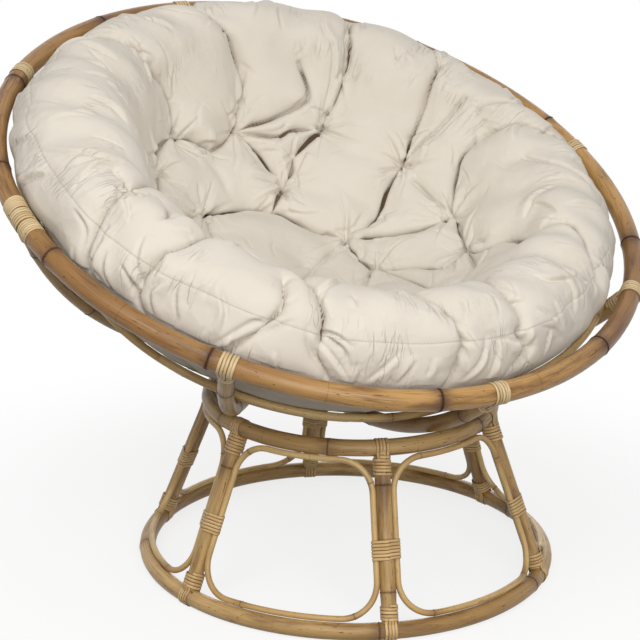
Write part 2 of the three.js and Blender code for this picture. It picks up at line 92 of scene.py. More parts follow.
def middleHeight(node):
    low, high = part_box(node)
    return (low.z + high.z) / 2


up = Vector((0, 0, 1))
bowlCentre = Vector(jointNamed("bowl_tilt")["pos_m"])
liftAxis = jointNamed("cushion_lift")["axis"]
bowlTilt = math.atan2(-liftAxis[1], liftAxis[2])
toWorld = Matrix.Translation(bowlCentre) @ Matrix.Rotation(bowlTilt, 4, "X")
topHeight = middleHeight("base_ring_top")
bottomHeight = middleHeight("base_ring_bottom")
ringRise = topHeight - bottomHeight
ringSpread = chair["bottomRingRadius"] - chair["topRingRadius"]
legSlope = math.atan2(ringSpread, ringRise)
legLength = math.hypot(ringSpread, ringRise)
ribSphere = (rimRadius ** 2 + chair["bowlDepth"] ** 2) / (2 * chair["bowlDepth"])
rimPolar = math.asin(rimRadius / ribSphere)
rimDrop = ribSphere - chair["bowlDepth"]
hoopSphere = ribSphere - ribPole - hoopCane - gap
hoopLow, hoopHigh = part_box("bottom_hoop")
bottomHoopPolar = math.asin(((hoopHigh.x - hoopLow.x) / 2 - chair["bottomHoopPole"]) / ribSphere)


def outward(azimuth):
    return Vector((math.sin(azimuth), -math.cos(azimuth), 0))


def along(azimuth):
    return Vector((math.cos(azimuth), math.sin(azimuth), 0))


def onSphere(polar, azimuth, radius):
    return (outward(azimuth) * math.sin(polar) - up * math.cos(polar)) * radius


def ringPoint(radius, height, azimuth):
    return outward(azimuth) * radius + up * height


def legAzimuth(number):
    return chair["legPhase"] + number * math.tau / legCount


def ribAzimuth(number):
    return number * math.tau / ribCount


def paint(red, green, blue):
    # An 8-bit screen colour as the linear colour that a shader takes.
    shares = (value / 255 for value in (red, green, blue))
    return (*(share / 12.92 if share <= 0.04045 else ((share + 0.055) / 1.055) ** 2.4 for share in shares), 1)


# Node trees are written as expressions: a Wire is one socket, and its operators add Math nodes.
class Wire:
    def __init__(self, graph, socket):
        self.graph = graph
        self.socket = socket

    def maths(self, operation, other=None):
        return self.graph.maths(operation, self, other)

    def __add__(self, other):
        return self.maths("ADD", other)

    def __mul__(self, other):
        return self.maths("MULTIPLY", other)

    def __sub__(self, other):
        return self.maths("SUBTRACT", other)

    def __truediv__(self, other):
        return self.maths("DIVIDE", other)

    def __rsub__(self, other):
        return self.graph.maths("SUBTRACT", other, self)

    def __neg__(self):
        return self * -1

    __radd__ = __add__
    __rmul__ = __mul__

    def larger(self, other):
        return self.maths("MAXIMUM", other)

    def bell(self, width):
        # 1 where the value is 0, falling to nothing within about twice the width.
        return (-((self / width) * (self / width))).maths("EXPONENT")

    def ramp(self, low, high):
        # 0 at low and 1 at high, smooth between them.
        settings = dict(interpolation_type="SMOOTHSTEP")
        values = {"Value": self, "From Min": low, "From Max": high}
        return self.graph.add("ShaderNodeMapRange", settings, values)


class Graph:
    def __init__(self, tree):
        self.tree = tree

    def add(self, kind, settings=None, values=None, out=0):
        made = self.tree.nodes.new(kind)
        for name, value in (settings or {}).items():
            setattr(made, name, value)
        for name, value in (values or {}).items():
            if isinstance(value, Wire):
                self.tree.links.new(value.socket, made.inputs[name])
            else:
                made.inputs[name].default_value = value
        return Wire(self, made.outputs[out]) if len(made.outputs) else None

    def maths(self, operation, first, second=None):
        terms = {0: first} if second is None else {0: first, 1: second}
        return self.add("ShaderNodeMath", dict(operation=operation), terms)

    def attribute(self, name, vector=False):
        return self.add("ShaderNodeAttribute", dict(attribute_name=name), out="Vector" if vector else "Fac")

    def place(self):
        return self.add("ShaderNodeTexCoord", out="Object")

    def split(self, vector):
        node = self.add("ShaderNodeSeparateXYZ", None, {0: vector}).socket.node
        return [Wire(self, output) for output in node.outputs]

    def noise(self, vector, scale, detail=2.0, roughness=0.5, distortion=0.0, out=0):
        values = {"Vector": vector, "Scale": scale, "Detail": detail, "Roughness": roughness}
        values["Distortion"] = distortion
        return self.add("ShaderNodeTexNoise", None, values, out)

    def grain(self, vector, stretch, detail=2, roughness=0.5, shift=(0, 0, 0)):
        # Noise drawn out by its own scale on each axis.
        values = {"Vector": vector, "Scale": stretch, "Location": shift}
        return self.noise(self.add("ShaderNodeMapping", None, values), 1, detail, roughness)

    def blend(self, share, first, second, way="MIX"):
        settings = dict(data_type="RGBA", blend_type=way, clamp_factor=True)
        return self.add("ShaderNodeMix", settings, {0: share, 6: first, 7: second}, out=2)

    def coats(self, tone, first, *coats):
        # Colours laid over one another: each coat is a share and the name of its colour.
        colour = tone[first]
        for share, name in coats:
            colour = self.blend(share, colour, tone[name])
        return colour

    def bump(self, height, depth, normal=None):
        values = {"Height": height, "Distance": depth, "Strength": 1.0}
        if normal:
            values["Normal"] = normal
        return self.add("ShaderNodeBump", None, values)


def newMaterial(name):
    material = bpy.data.materials.new(name)
    material.use_nodes = True
    material.node_tree.nodes.clear()
    return material, Graph(material.node_tree)


def finishMaterial(material, graph, values):
    shader = graph.add("ShaderNodeBsdfPrincipled", None, values)
    graph.add("ShaderNodeOutputMaterial", None, {"Surface": shader})
    return material


# Rattan: lengthwise streaks, slow changes of tone, dark thin knots with browner skin about them, specks.
rimTone = dict(
    light=paint(187, 144, 84),
    deep=paint(144, 103, 52),
    stain=paint(108, 70, 34),
    brown=paint(80, 47, 21),
    knot=paint(52, 25, 10),
    streaks=0.78,
    blotches=0.95,
    knotShade=0.85,
    knotShadeWidth=0.016,
    knotLine=1.0,
    knotWidth=0.0026,
    knotRagged=0.0034,
    specks=0.9,
    dashes=0.85,
    roughness=0.38,
    coat=0.16,
    relief=0.0004,
)
poleTone = dict(
    rimTone,
    light=paint(203, 168, 111),
    deep=paint(162, 126, 74),
    stain=paint(122, 88, 47),
    brown=paint(96, 64, 32),
    knotShade=0.6,
    knotLine=0.65,
    knotWidth=0.0015,
    roughness=0.43,
    coat=0.12,
)
caneTone = dict(
    rimTone,
    light=paint(218, 188, 130),
    deep=paint(190, 154, 98),
    stain=paint(158, 120, 70),
    brown=paint(134, 96, 54),
    streaks=0.4,
    blotches=0.7,
    knotShade=0.6,
    knotLine=0.55,
    knotWidth=0.0011,
    specks=0.7,
    dashes=0.4,
    roughness=0.44,
    coat=0.1,
)
# Each grain of the skin: its scale across, across and along the pole, then detail, roughness and shift.
rattanGrains = dict(
    streak=((900, 900, 14), 3, 0.6),
    fibre=((2600, 2600, 22),),
    blotch=((55, 55, 9), 3, 0.55),
    drift=((6, 6, 2.1),),
    speck=((420, 420, 110),),
    scar=((170, 170, 60), 3, 0.6, (3, 8, 1)),
    dash=((330, 330, 24), 1, 0.5, (5, 2, 9)),
)


def rattan(name, tone):
    material, graph = newMaterial(name)
    skin = graph.attribute("poleSkin", vector=True)
    toKnot = graph.attribute("toKnot")
    streak, fibre, blotch, drift, speck, scar, dash = (graph.grain(skin, *row) for row in rattanGrains.values())
    around = toKnot.bell(tone["knotShadeWidth"]) * blotch.ramp(0.24, 0.56) * tone["knotShade"]
    line = (toKnot + (streak - 0.5) * tone["knotRagged"]).bell(tone["knotWidth"]) * tone["knotLine"]
    marks = speck.ramp(0.67, 0.73) * tone["specks"]
    marks = marks.larger(scar.ramp(0.70, 0.78) * tone["specks"] * 0.6)
    marks = marks.larger(dash.ramp(0.735, 0.77) * tone["dashes"])
    return finishMaterial(material, graph, {
        "Base Color": graph.coats(
            tone, "light",
            (drift.ramp(0.36, 0.64), "deep"),
            (blotch.ramp(0.46, 0.74) * tone["blotches"], "stain"),
            (streak.ramp(0.48, 0.76) * tone["streaks"], "brown"),
            (around, "brown"), (line, "knot"), (marks, "knot")),
        "Roughness": tone["roughness"] + (streak - 0.5) * 0.16 + line * 0.5 + marks * 0.2,
        "Normal": graph.bump(streak * 0.5 + fibre * 0.35 - line * 0.9 - marks * 0.6, tone["relief"]),
        "Coat Weight": tone["coat"] * (1 - line.larger(marks)),
        "Coat Roughness": 0.25,
        "Specular IOR Level": 0.38,
    })


# Split cane strips: pale straw with lengthwise grain, each turn a little lighter or browner, and painted shade
# darkening each strip's edges where the turns meet.
rimStripTone = dict(
    pale=paint(214, 192, 150),
    straw=paint(192, 163, 115),
    brown=paint(150, 112, 66),
    # painted shade at the strips' edges, between the turns
    edge=paint(104, 74, 42),
    roughness=0.48,
    relief=0.0002,
)
baseStripTone = dict(
    rimStripTone,
    pale=paint(212, 178, 124),
    straw=paint(184, 146, 92),
    brown=paint(128, 92, 52),
    # painted shade at the strips' edges, between the turns
    edge=paint(74, 52, 32),
)


def splitCane(name, tone):
    material, graph = newMaterial(name)
    skin = graph.attribute("stripSkin", vector=True)
    turn = graph.attribute("turnTone")
    grain = graph.grain(skin, (1500, 1500, 26), 3, 0.6)
    slow = graph.grain(skin, (120, 120, 16))
    # Painted shade: the strip darkens towards its edges as if shaded between the turns.
    edge = graph.split(skin)[0].maths("ABSOLUTE").ramp(0.0016, 0.0025)
    return finishMaterial(material, graph, {
        "Base Color": graph.coats(
            tone, "pale",
            (turn * 0.55 + slow.ramp(0.35, 0.7) * 0.45, "straw"),
            (grain.ramp(0.55, 0.82) * 0.5, "brown"),
            (slow.ramp(0.62, 0.8) * 0.35, "brown"),
            (edge * 0.75, "edge")),
        "Roughness": tone["roughness"] + (grain - 0.5) * 0.2,
        "Normal": graph.bump(grain, tone["relief"]),
        "Coat Weight": 0.08,
        "Coat Roughness": 0.3,
    })


# Cotton: cream plain weave with slubs, soft sheen, faint mottling and fine wrinkles, with painted shade that
# darkens its crease lines, tuft dots, seams and wrinkle lines.
cottonTone = dict(
    cream=paint(216, 208, 195),
    shade=paint(210, 201, 186),
    slub=paint(199, 188, 168),
    # painted shade: the brown that darkens the crease lines, tuft dots, seams and wrinkle lines
    creaseShade=paint(116, 84, 50),
    thread=2600,
    weave=0.00012,
    rumple=0.0008,
    crumple=0.0017,
    wrinkle=0.0011,
    acrossRoll=(34, 34, 13),    # scales of the wrinkles that cross the roll
    fromTuft=(3.4, 3.4, 16),    # and of those that spread from the tufts
)


def cotton(name, tone):
    material, graph = newMaterial(name)
    place = graph.place()

    def threadsAlong(way):
        values = {"Vector": place, "Scale": tone["thread"] / math.tau, "Distortion": 1.2, "Detail": 1.0}
        return graph.add("ShaderNodeTexWave", dict(wave_type="BANDS", bands_direction=way), values, out="Fac")

    def wrinklesOn(skin, share):
        # Thin lines where a noise passes its middle.
        field = graph.grain(graph.attribute(skin, vector=True), tone[skin], 2, 0.45)
        return (1 - (field - 0.5).maths("ABSOLUTE").ramp(0.0, 0.05)) * graph.attribute(share)

    threads = graph.noise(place, 900)
    patches = graph.noise(place, 11)
    wrinkles = wrinklesOn("acrossRoll", "rollShare").larger(wrinklesOn("fromTuft", "tuftShare"))
    wrinkles = wrinkles * patches.ramp(0.50, 0.68)
    woven = graph.coats(
        tone, "cream",
        (graph.noise(place, 9, 4, 0.6).ramp(0.35, 0.75) * 0.55, "shade"),
        (graph.grain(place, (700, 90, 260)).ramp(0.66, 0.78) * 0.3, "slub"))
    # Painted shade: crease lines and tuft dots darken the colour most, the seams less and the wrinkle lines
    # faintly.
    lines = graph.attribute("creaseShadeLine").ramp(0.24, 0.76) * 0.88
    seams = graph.attribute("seamShadeLine").ramp(0.5, 1.0) * 0.3
    drift = graph.noise(place, 30, out="Color")
    bent = graph.add("ShaderNodeVectorMath", dict(operation="MULTIPLY_ADD"), {0: drift, 1: (0.03,) * 3, 2: place})
    facets = graph.add("ShaderNodeTexVoronoi", None, {"Vector": bent, "Scale": 42}, out="Distance")
    crumple = facets * (0.35 + graph.attribute("rollShare") * 0.65) * patches.ramp(0.34, 0.6)
    soft = graph.bump(crumple, tone["crumple"], graph.bump(graph.noise(place, 17, 3, 0.5, 0.8), tone["rumple"]))
    weave = threadsAlong("X") * 0.3 + threadsAlong("DIAGONAL") * 0.3 + threads * 0.6
    return finishMaterial(material, graph, {
        # the woven colour, darkened by the painted shade of the creases, seams and wrinkles
        "Base Color": graph.blend(lines.larger(seams).larger(wrinkles * 0.09), woven, tone["creaseShade"], "MULTIPLY"),
        "Roughness": 0.86 + (threads - 0.5) * 0.12,
        "Normal": graph.bump(weave, tone["weave"], graph.bump(-wrinkles, tone["wrinkle"], soft)),
        "Sheen Weight": 0.12,
        "Sheen Roughness": 0.5,
        "Specular IOR Level": 0.25,
    })


def steel(name):
    # The brads' small dark heads.
    material, graph = newMaterial(name)
    rust = graph.noise(graph.place(), 700, 3)
    return finishMaterial(material, graph, {
        "Base Color": graph.blend(rust.ramp(0.4, 0.7), paint(74, 62, 50), paint(112, 92, 68)),
        "Metallic": 0.85,
        "Roughness": 0.42 + (rust - 0.5) * 0.3,
        "Normal": graph.bump(rust, 0.0001),
    })


def sewingThread(name):
    material, graph = newMaterial(name)
    twist = graph.noise(graph.place(), 1800)
    return finishMaterial(material, graph, {
        "Base Color": graph.blend(twist, paint(226, 219, 202), paint(205, 196, 176)),
        "Roughness": 0.8,
        "Normal": graph.bump(twist, 0.0001),
    })


rimRattan = rattan("rimRattan", rimTone)
poleRattan = rattan("poleRattan", poleTone)
caneRattan = rattan("caneRattan", caneTone)
rimStrips = splitCane("rimStrips", rimStripTone)
baseStrips = splitCane("baseStrips", baseStripTone)
creamCotton = cotton("creamCotton", cottonTone)
bradSteel = steel("bradSteel")
thread = sewingThread("thread")
print("materials made")


# Node trees for what follows a path or repeats: they take a mesh and give a painted one.
def startTree(name, *sizes):
    # The inputs are a geometry, the sizes, each a name, a kind of socket and a value, and a material.
    tree = bpy.data.node_groups.new(name, "GeometryNodeTree")
    for label, kind, value in (("Geometry", "Geometry", None), *sizes, ("Material", "Material", None)):
        socket = tree.interface.new_socket(label, in_out="INPUT", socket_type="NodeSocket" + kind)
        if value is not None:
            socket.default_value = value
    tree.interface.new_socket("Geometry", in_out="OUTPUT", socket_type="NodeSocketGeometry")
    graph = Graph(tree)
    return graph, {socket.name: Wire(graph, socket) for socket in tree.nodes.new("NodeGroupInput").outputs}


def named(graph, name, kind="FLOAT"):
    return graph.add("GeometryNodeInputNamedAttribute", dict(data_type=kind), {"Name": name})


def stored(graph, geometry, name, value, kind="FLOAT"):
    settings = dict(data_type=kind, domain="POINT")
    values = {"Geometry": geometry, "Name": name, "Value": value}
    return graph.add("GeometryNodeStoreNamedAttribute", settings, values)


def endTree(graph, geometry, material):
    real = graph.add("GeometryNodeRealizeInstances", None, {"Geometry": geometry})
    smooth = graph.add("GeometryNodeSetShadeSmooth", None, {"Geometry": real, "Shade Smooth": True})
    painted = graph.add("GeometryNodeSetMaterial", None, {"Geometry": smooth, "Material": material})
    graph.tree.links.new(painted.socket, graph.tree.nodes.new("NodeGroupOutput").inputs[0])
    return graph.tree


def linked(name, data):
    made = bpy.data.objects.new(name, data)
    bpy.context.scene.collection.objects.link(made)
    return made


def runTree(tree, source, values):
    # Runs a node tree on a mesh, with its inputs set by identifier, and returns the plain mesh that it makes.
    carrier = linked("carrier", source)
    modifier = carrier.modifiers.new("nodes", "NODES")
    modifier.node_group = tree
    for item in tree.interface.items_tree:
        if item.item_type == "SOCKET" and item.in_out == "INPUT" and item.name in values:
            modifier[item.identifier] = values[item.name]
    graph = bpy.context.evaluated_depsgraph_get()
    mesh = bpy.data.meshes.new_from_object(carrier.evaluated_get(graph))
    carrier.modifiers.remove(modifier)
    bpy.data.objects.remove(carrier)
    return mesh


def mark(mesh, name, values, kind="FLOAT"):
    # Keeps one number or one vector for each point of a mesh.
    field = "vector" if kind == "FLOAT_VECTOR" else "value"
    mesh.attributes.new(name, kind, "POINT").data.foreach_set(field, np.ravel(values))


# A pole is a round tube along a path. The path carries its distance and its distance to the nearest knot.
knotShape = dict(
    offsets=(-0.009, -0.005, -0.003, -0.0018, -0.001, -0.0003, 0.0004, 0.0011, 0.002, 0.0034, 0.006, 0.010),
    swellWidth=0.010,
    lipWidth=0.0009,
    grooveShare=0.7,
    shortest=0.00035,       # points closer than this are left out
    clear=0.010,            # evenly spaced points stay this far from a knot
    ends=0.02,              # no knot is this close to a pole's end
    waver=0.03,
    waverScale=9,
    drift=40.0,             # metres between the patterns of two poles
    firstSeed=700,
)


def buildPoleTree():
    graph, given = startTree(
        "polesAlongPaths", ("Radius", "Float", 0.0125), ("Swelling", "Float", 0.0004), ("Lip", "Float", 0.0004),
        ("Waver", "Float", 0.02), ("Seed", "Float", 1.0), ("Sides", "Int", 18))
    toKnot = named(graph, "toKnot")
    travel = named(graph, "travel")
    lengthwise = travel * knotShape["waverScale"]
    where = graph.add("ShaderNodeCombineXYZ", None, {0: lengthwise, 1: given["Seed"], 2: 0.0})
    lipWidth = knotShape["lipWidth"]
    radius = given["Radius"] + (graph.noise(where, 1) - 0.5) * given["Waver"] * given["Radius"] * 2
    radius = radius + (toKnot - lipWidth).bell(lipWidth) * given["Lip"]
    radius = radius - (toKnot + lipWidth).bell(lipWidth) * given["Lip"] * knotShape["grooveShare"]
    radius = radius + toKnot.bell(knotShape["swellWidth"]) * given["Swelling"]
    curve = graph.add("GeometryNodeMeshToCurve", None, {"Mesh": given["Geometry"]})
    sized = stored(graph, curve, "poleRadius", radius)
    sizes = named(graph, "poleRadius")
    circle = graph.add("GeometryNodeCurvePrimitiveCircle", None, {"Resolution": given["Sides"], "Radius": 1.0})
    profile = stored(graph, circle, "ringPlace", graph.add("GeometryNodeInputPosition"), "FLOAT_VECTOR")
    tube = graph.add("GeometryNodeCurveToMesh", None,
                     {"Curve": sized, "Profile Curve": profile, "Scale": sizes, "Fill Caps": True})
    x, y, z = graph.split(named(graph, "ringPlace", "FLOAT_VECTOR"))
    skin = graph.add("ShaderNodeCombineXYZ", None, {0: x * sizes, 1: y * sizes, 2: travel})
    return endTree(graph, stored(graph, tube, "poleSkin", skin, "FLOAT_VECTOR"), given["Material"])


def knotsAlong(length, spacing, seed):
    draw = random.Random(seed)
    knots = []
    place = draw.uniform(0.25, 0.8) * spacing
    while place < length - knotShape["ends"]:
        knots.append(place)
        place += spacing * draw.uniform(0.7, 1.3)
    return knots


def lengthsAlong(points):
    lengths = [0.0]
    for before, after in zip(points, points[1:]):
        lengths.append(lengths[-1] + (after - before).length)
    return lengths


def pathMesh(points, knots, step, number):
    # Points of a path, spaced evenly and closer together at each knot.
    lengths = lengthsAlong(points)
    total = lengths[-1]
    spans = max(2, round(total / step))
    stops = [total * k / spans for k in range(spans + 1)]
    stops = [stop for stop in stops
             if stop in (0, total) or all(abs(stop - knot) > knotShape["clear"] for knot in knots)]
    near = [knot + offset for knot in knots for offset in knotShape["offsets"]]
    kept = [0.0]
    for stop in sorted(stops + [stop for stop in near if 0.001 < stop < total - 0.001]):
        if stop - kept[-1] > knotShape["shortest"]:
            kept.append(stop)
    kept[-1] = total
    flat = np.array([tuple(point) for point in points])
    placed = np.stack([np.interp(kept, lengths, flat[:, axis]) for axis in range(3)], axis=1)
    mesh = bpy.data.meshes.new("path")
    mesh.from_pydata(placed.tolist(), [(k, k + 1) for k in range(len(kept) - 1)], [])
    mark(mesh, "travel", [stop + number * knotShape["drift"] for stop in kept])
    mark(mesh, "toKnot", [min((stop - knot for knot in knots), key=abs, default=1.0) for stop in kept])
    return mesh


poleTree = buildPoleTree()
poleCount = 0


def poleMesh(points, radius, material, spacing=0.3, knots=None, step=0.007, sides=18, swelling=0.0005,
             lip=0.0005):
    global poleCount
    poleCount += 1
    if knots is None:
        knots = knotsAlong(lengthsAlong(points)[-1], spacing, knotShape["firstSeed"] + poleCount)
    return runTree(poleTree, pathMesh(points, knots, step, poleCount), {
        "Radius": radius, "Swelling": swelling, "Lip": lip, "Waver": knotShape["waver"], "Seed": 1.7 * poleCount,
        "Sides": sides, "Material": material})


def copeEnds(mesh, radii, ends, distance=0.00002):
    # Cuts a pole's ends as saddles over the rings at its joints: what would lie inside one is laid on it.
    for end, radius in zip(ends, radii):
        reach = radius + gap
        for vertex in mesh.vertices:
            offset = vertex.co - end["at"]
            aside = offset.dot(end["face"])
            depth = offset.dot(end["lead"])
            if abs(aside) < reach and depth < reach:
                least = math.sqrt(reach ** 2 - aside ** 2)
                if depth < least:
                    vertex.co += end["lead"] * (least - depth)
    work = bmesh.new()
    work.from_mesh(mesh)
    bmesh.ops.remove_doubles(work, verts=work.verts, dist=distance)
    bmesh.ops.dissolve_degenerate(work, dist=distance, edges=work.edges)
    work.to_mesh(mesh)
    work.free()


def addPiece(name, mesh, body, slot, *nodes):
    # The base is made where it stands; the bowl and the cushion are made about the bowl's centre, then tilted.
    if body != "base":
        mesh.transform(toWorld)
    piece = linked(name, mesh)
    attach(piece, body)
    if nodes:
        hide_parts(*nodes)
    return piece


def between(first, last, spans):
    return [first + (last - first) * k / spans for k in range(spans + 1)]


# A joint: `at` on the ring's centreline, `lead` down the joining pole, `side` along the ring, `face` square to
# both.
def joint(at, lead, azimuth):
    side = along(azimuth)
    return dict(at=at, lead=lead, side=side, face=lead.cross(side).normalized())


def legJoints(number):
    azimuth = legAzimuth(number)
    down = outward(azimuth) * math.sin(legSlope) - up * math.cos(legSlope)
    top = joint(ringPoint(chair["topRingRadius"], topHeight, azimuth), down, azimuth)
    return top, joint(ringPoint(chair["bottomRingRadius"], bottomHeight, azimuth), -down, azimuth)


def ribJoint(number, polar, towards):
    azimuth = ribAzimuth(number)
    at = onSphere(polar, azimuth, ribSphere)
    return joint(at, (onSphere(towards, azimuth, ribSphere) - at).normalized(), azimuth)


def ribJoints(number):
    top = ribJoint(number, rimPolar, rimPolar - (rimPolar - bottomHoopPolar) / 12)
    return top, ribJoint(number, bottomHoopPolar, bottomHoopPolar + 0.05)


# Base poles: two rings whose ends meet under a leg's binding, and the legs between them.
def makeBasePoles():
    closing = legAzimuth(3)
    for place, height in (("top", topHeight), ("bottom", bottomHeight)):
        radius = chair[place + "RingRadius"]
        points = [ringPoint(radius, height, azimuth) for azimuth in between(closing, closing + math.tau, 360)]
        mesh = poleMesh(points, ringPole, poleRattan, spacing=0.27)
        for vertex in mesh.vertices:
            vertex.co.z = max(vertex.co.z, 0)
        addPiece(place + "Ring", mesh, "base", "pole", "base_ring_" + place)
    for number in range(legCount):
        ends = legJoints(number)
        points = [ends[0]["at"].lerp(ends[1]["at"], share) for share in between(0, 1, 40)]
        mesh = poleMesh(points, legPole, poleRattan, spacing=0.21)
        copeEnds(mesh, (ringPole, ringPole), ends)
        addPiece(f"leg{number + 1}", mesh, "base", "pole", f"leg_{number + 1}")


# Panel loops run beside the legs and along both rings, on the cone that the legs span.
coneShare = ringSpread / legLength
coneTop = chair["topRingRadius"] / coneShare
caneOffset = legPole * math.cos(math.pi / 8) + gap + panelCane
caneShape = dict(swelling=0.0003, lip=0.0004)


def onCone(legNumber, x, y, mirrored=False):
    # `x` beside the leg and `y` from the apex, measured on the cone laid flat.
    fromApex = math.hypot(x, y)
    turn = math.atan2(x, y) / coneShare
    azimuth = legAzimuth(legNumber + 1) - turn if mirrored else legAzimuth(legNumber) + turn
    height = topHeight - (fromApex - coneTop) * math.cos(legSlope)
    return ringPoint(fromApex * coneShare, height, azimuth), azimuth


def panelPath(number):
    corner = chair["panelCornerRadius"]
    clear = ringPole + panelCane + chair["panelGap"]
    topFromApex = coneTop + clear
    bottomFromApex = coneTop + legLength - clear
    start = coneTop + legLength * chair["lashingPlace"]
    x = caneOffset + corner

    def half(fromApex, inward, mirrored):
        # From the lashing up or down beside the leg, and round the corner to the ring.
        y = math.sqrt((fromApex + inward * corner) ** 2 - x ** 2)
        toRing = math.atan2(x, y)
        last = math.pi * 1.5 - toRing if inward > 0 else math.pi / 2 - toRing
        turned = [(x + corner * math.cos(angle), y + corner * math.sin(angle))
                  for angle in between(math.pi, last, 14)]
        beside = [(caneOffset, place) for place in between(start, turned[0][1], 8)]
        return [onCone(number, a, b, mirrored) for a, b in beside + turned[1:]]

    def ringRun(before, after, fromApex):
        spread = [(turn - legAzimuth(number)) * coneShare for turn in between(before[1], after[1], 24)[1:-1]]
        return [onCone(number, fromApex * math.sin(a), fromApex * math.cos(a)) for a in spread]

    upperLeft, upperRight = (half(topFromApex, 1, mirrored) for mirrored in (False, True))
    lowerLeft, lowerRight = (half(bottomFromApex, -1, mirrored) for mirrored in (False, True))
    path = lowerLeft + ringRun(lowerLeft[-1], lowerRight[-1], bottomFromApex) + lowerRight[::-1]
    path += upperRight[1:] + ringRun(upperRight[-1], upperLeft[-1], topFromApex) + upperLeft[::-1]
    return [at for at, azimuth in path]


def makePanelCanes():
    for number in range(legCount):
        mesh = poleMesh(panelPath(number), panelCane, caneRattan, spacing=0.25, step=0.006, sides=12, **caneShape)
        addPiece(f"panelCane{number + 1}", mesh, "base", "cane", f"panel_cane_{number + 1}")


# Bowl poles: the rim, three hoops and the ribs.
rimKnots = dict(
    azimuths=(279.8, 312, 349, 386, 420.5, 459, 491, 525, 559, 588.5, 616),     # degrees
    start=270,
)


def makeBowlPoles():
    splice = ribAzimuth(chair["spliceRib"])
    lap = math.tau + chair["midHoopLap"]
    lane = (2 * hoopCane + chair["midHoopGap"]) / hoopSphere * lap / math.tau
    upperPolar, midPolar = (math.acos((rimDrop + chair[key]) / hoopSphere)
                            for key in ("upperHoopDrop", "midHoopDrop"))
    knots = [math.radians(angle - rimKnots["start"]) * rimRadius for angle in rimKnots["azimuths"]]
    rimShape = dict(knots=knots, step=0.009, sides=24, swelling=0.0008, lip=0.0006)
    hoopShape = dict(caneShape, spacing=0.33, sides=14)
    fromBack = (math.pi, math.pi + math.tau)

    def onRim(azimuth):
        return ringPoint(rimRadius, -rimDrop, azimuth)

    def onUpper(azimuth):
        return onSphere(upperPolar, azimuth, hoopSphere)

    def onMiddle(share):
        return onSphere(midPolar + lane / 2 - lane * share, chair["midHoopStart"] + lap * share, hoopSphere)

    def onBottom(azimuth):
        return onSphere(bottomHoopPolar, azimuth, ribSphere)

    for name, node, slot, place, stops, radius, material, shape in (
        ("rimHoop", "rim_hoop", "rim", onRim, (splice, splice + math.tau, 720), rimPole, rimRattan, rimShape),
        ("upperHoop", "upper_hoop", "cane", onUpper, (*fromBack, 600), hoopCane, caneRattan, hoopShape),
        ("middleHoop", "mid_hoop", "cane", onMiddle, (0, 1, 600), hoopCane, caneRattan, hoopShape),
        ("bottomHoop", "bottom_hoop", "pole", onBottom, (*fromBack, 240), chair["bottomHoopPole"], poleRattan,
         dict(spacing=0.22)),
    ):
        mesh = poleMesh([place(stop) for stop in between(*stops)], radius, material, **shape)
        addPiece(name, mesh, "bowl", slot, node)
    for number in range(ribCount):
        azimuth = ribAzimuth(number)
        points = [onSphere(polar, azimuth, ribSphere) for polar in between(rimPolar, bottomHoopPolar, 160)]
        mesh = poleMesh(points, ribPole, poleRattan, spacing=0.24)
        copeEnds(mesh, (rimPole, chair["bottomHoopPole"]), ribJoints(number))
        addPiece(f"rib{number + 1}", mesh, "bowl", "pole", f"rib_{number + 1}")


makeBasePoles()
makePanelCanes()
makeBowlPoles()
print("poles made")


# Strips: a split cane laid along stations, each with a place, the way it faces and its distance along.
strip = dict(
    width=0.0050,
    thick=0.0014,
    pitch=0.0053,
    outline=((-0.5, 0), (-0.5, 0.3), (-0.42, 0.66), (-0.24, 0.92), (0, 1), (0.24, 0.92), (0.42, 0.66), (0.5, 0.3),
             (0.5, 0)),
    smoothSpans=5,
    turnSteps=26,
    overlap=0.9,            # share of its thickness by which a strip rides over another
)


def smoothStep(before, here, after, beyond, t):
    # A smooth curve from `here` to `after`, which the values on both sides steer.
    return 0.5 * (2 * here + (after - before) * t + (2 * before - 5 * here + 4 * after - beyond) * t ** 2
                  + (3 * here - before - 3 * after + beyond) * t ** 3)


def smoothRun(values, spans):
    last = len(values) - 1
    run = []
    for k in range(last):
        four = values[max(k - 1, 0)], values[k], values[k + 1], values[min(k + 2, last)]
        run += [smoothStep(*four, step / spans) for step in range(spans)]
    return run + [values[last].copy()]


class StripWork:
    # Collects the strips and brads of one binding, then makes its mesh.
    def __init__(self, seed):
        self.draw = random.Random(seed)
        self.verts = []
        self.faces = []
        self.skins = []
        self.tones = []
        self.brads = []

    def lay(self, stations, width=strip["width"]):
        shade = self.draw.random()
        travelled = self.draw.uniform(0, 30)
        first = len(self.verts)
        sides = len(strip["outline"])
        last = len(stations) - 1
        for k, (at, out) in enumerate(stations):
            heading = stations[min(k + 1, last)][0] - stations[max(k - 1, 0)][0]
            facing = (out - heading * (out.dot(heading) / heading.length_squared)).normalized()
            sideways = facing.cross(heading).normalized()
            if k:
                travelled += (at - stations[k - 1][0]).length
            for a, o in strip["outline"]:
                self.verts.append(at + sideways * (a * width) + facing * (o * strip["thick"]))
                self.skins.append((a * width, o * strip["thick"], travelled))
                self.tones.append(shade)
        for here in range(first, first + last * sides, sides):
            for j in range(sides):
                i = (j + 1) % sides
                self.faces.append((here + i, here + j, here + sides + j, here + sides + i))
        self.faces.append(tuple(first + j for j in range(sides)))
        self.faces.append(tuple(first + last * sides + j for j in reversed(range(sides))))

    def brad(self, at, out):
        self.brads.append((at + out * strip["thick"] * strip["overlap"], out))

    def mesh(self, material):
        mesh = bpy.data.meshes.new("strips")
        mesh.from_pydata(self.verts, [], self.faces)
        mark(mesh, "stripSkin", self.skins, "FLOAT_VECTOR")
        mark(mesh, "turnTone", self.tones)
        mesh.polygons.foreach_set("use_smooth", [True] * len(mesh.polygons))
        mesh.set_sharp_from_angle(angle=math.radians(50))
        mesh.materials.append(material)
        return mesh


def awayFrom(spot, lead, face, side=0.0):
    return spot["lead"] * lead + spot["face"] * face + spot["side"] * side


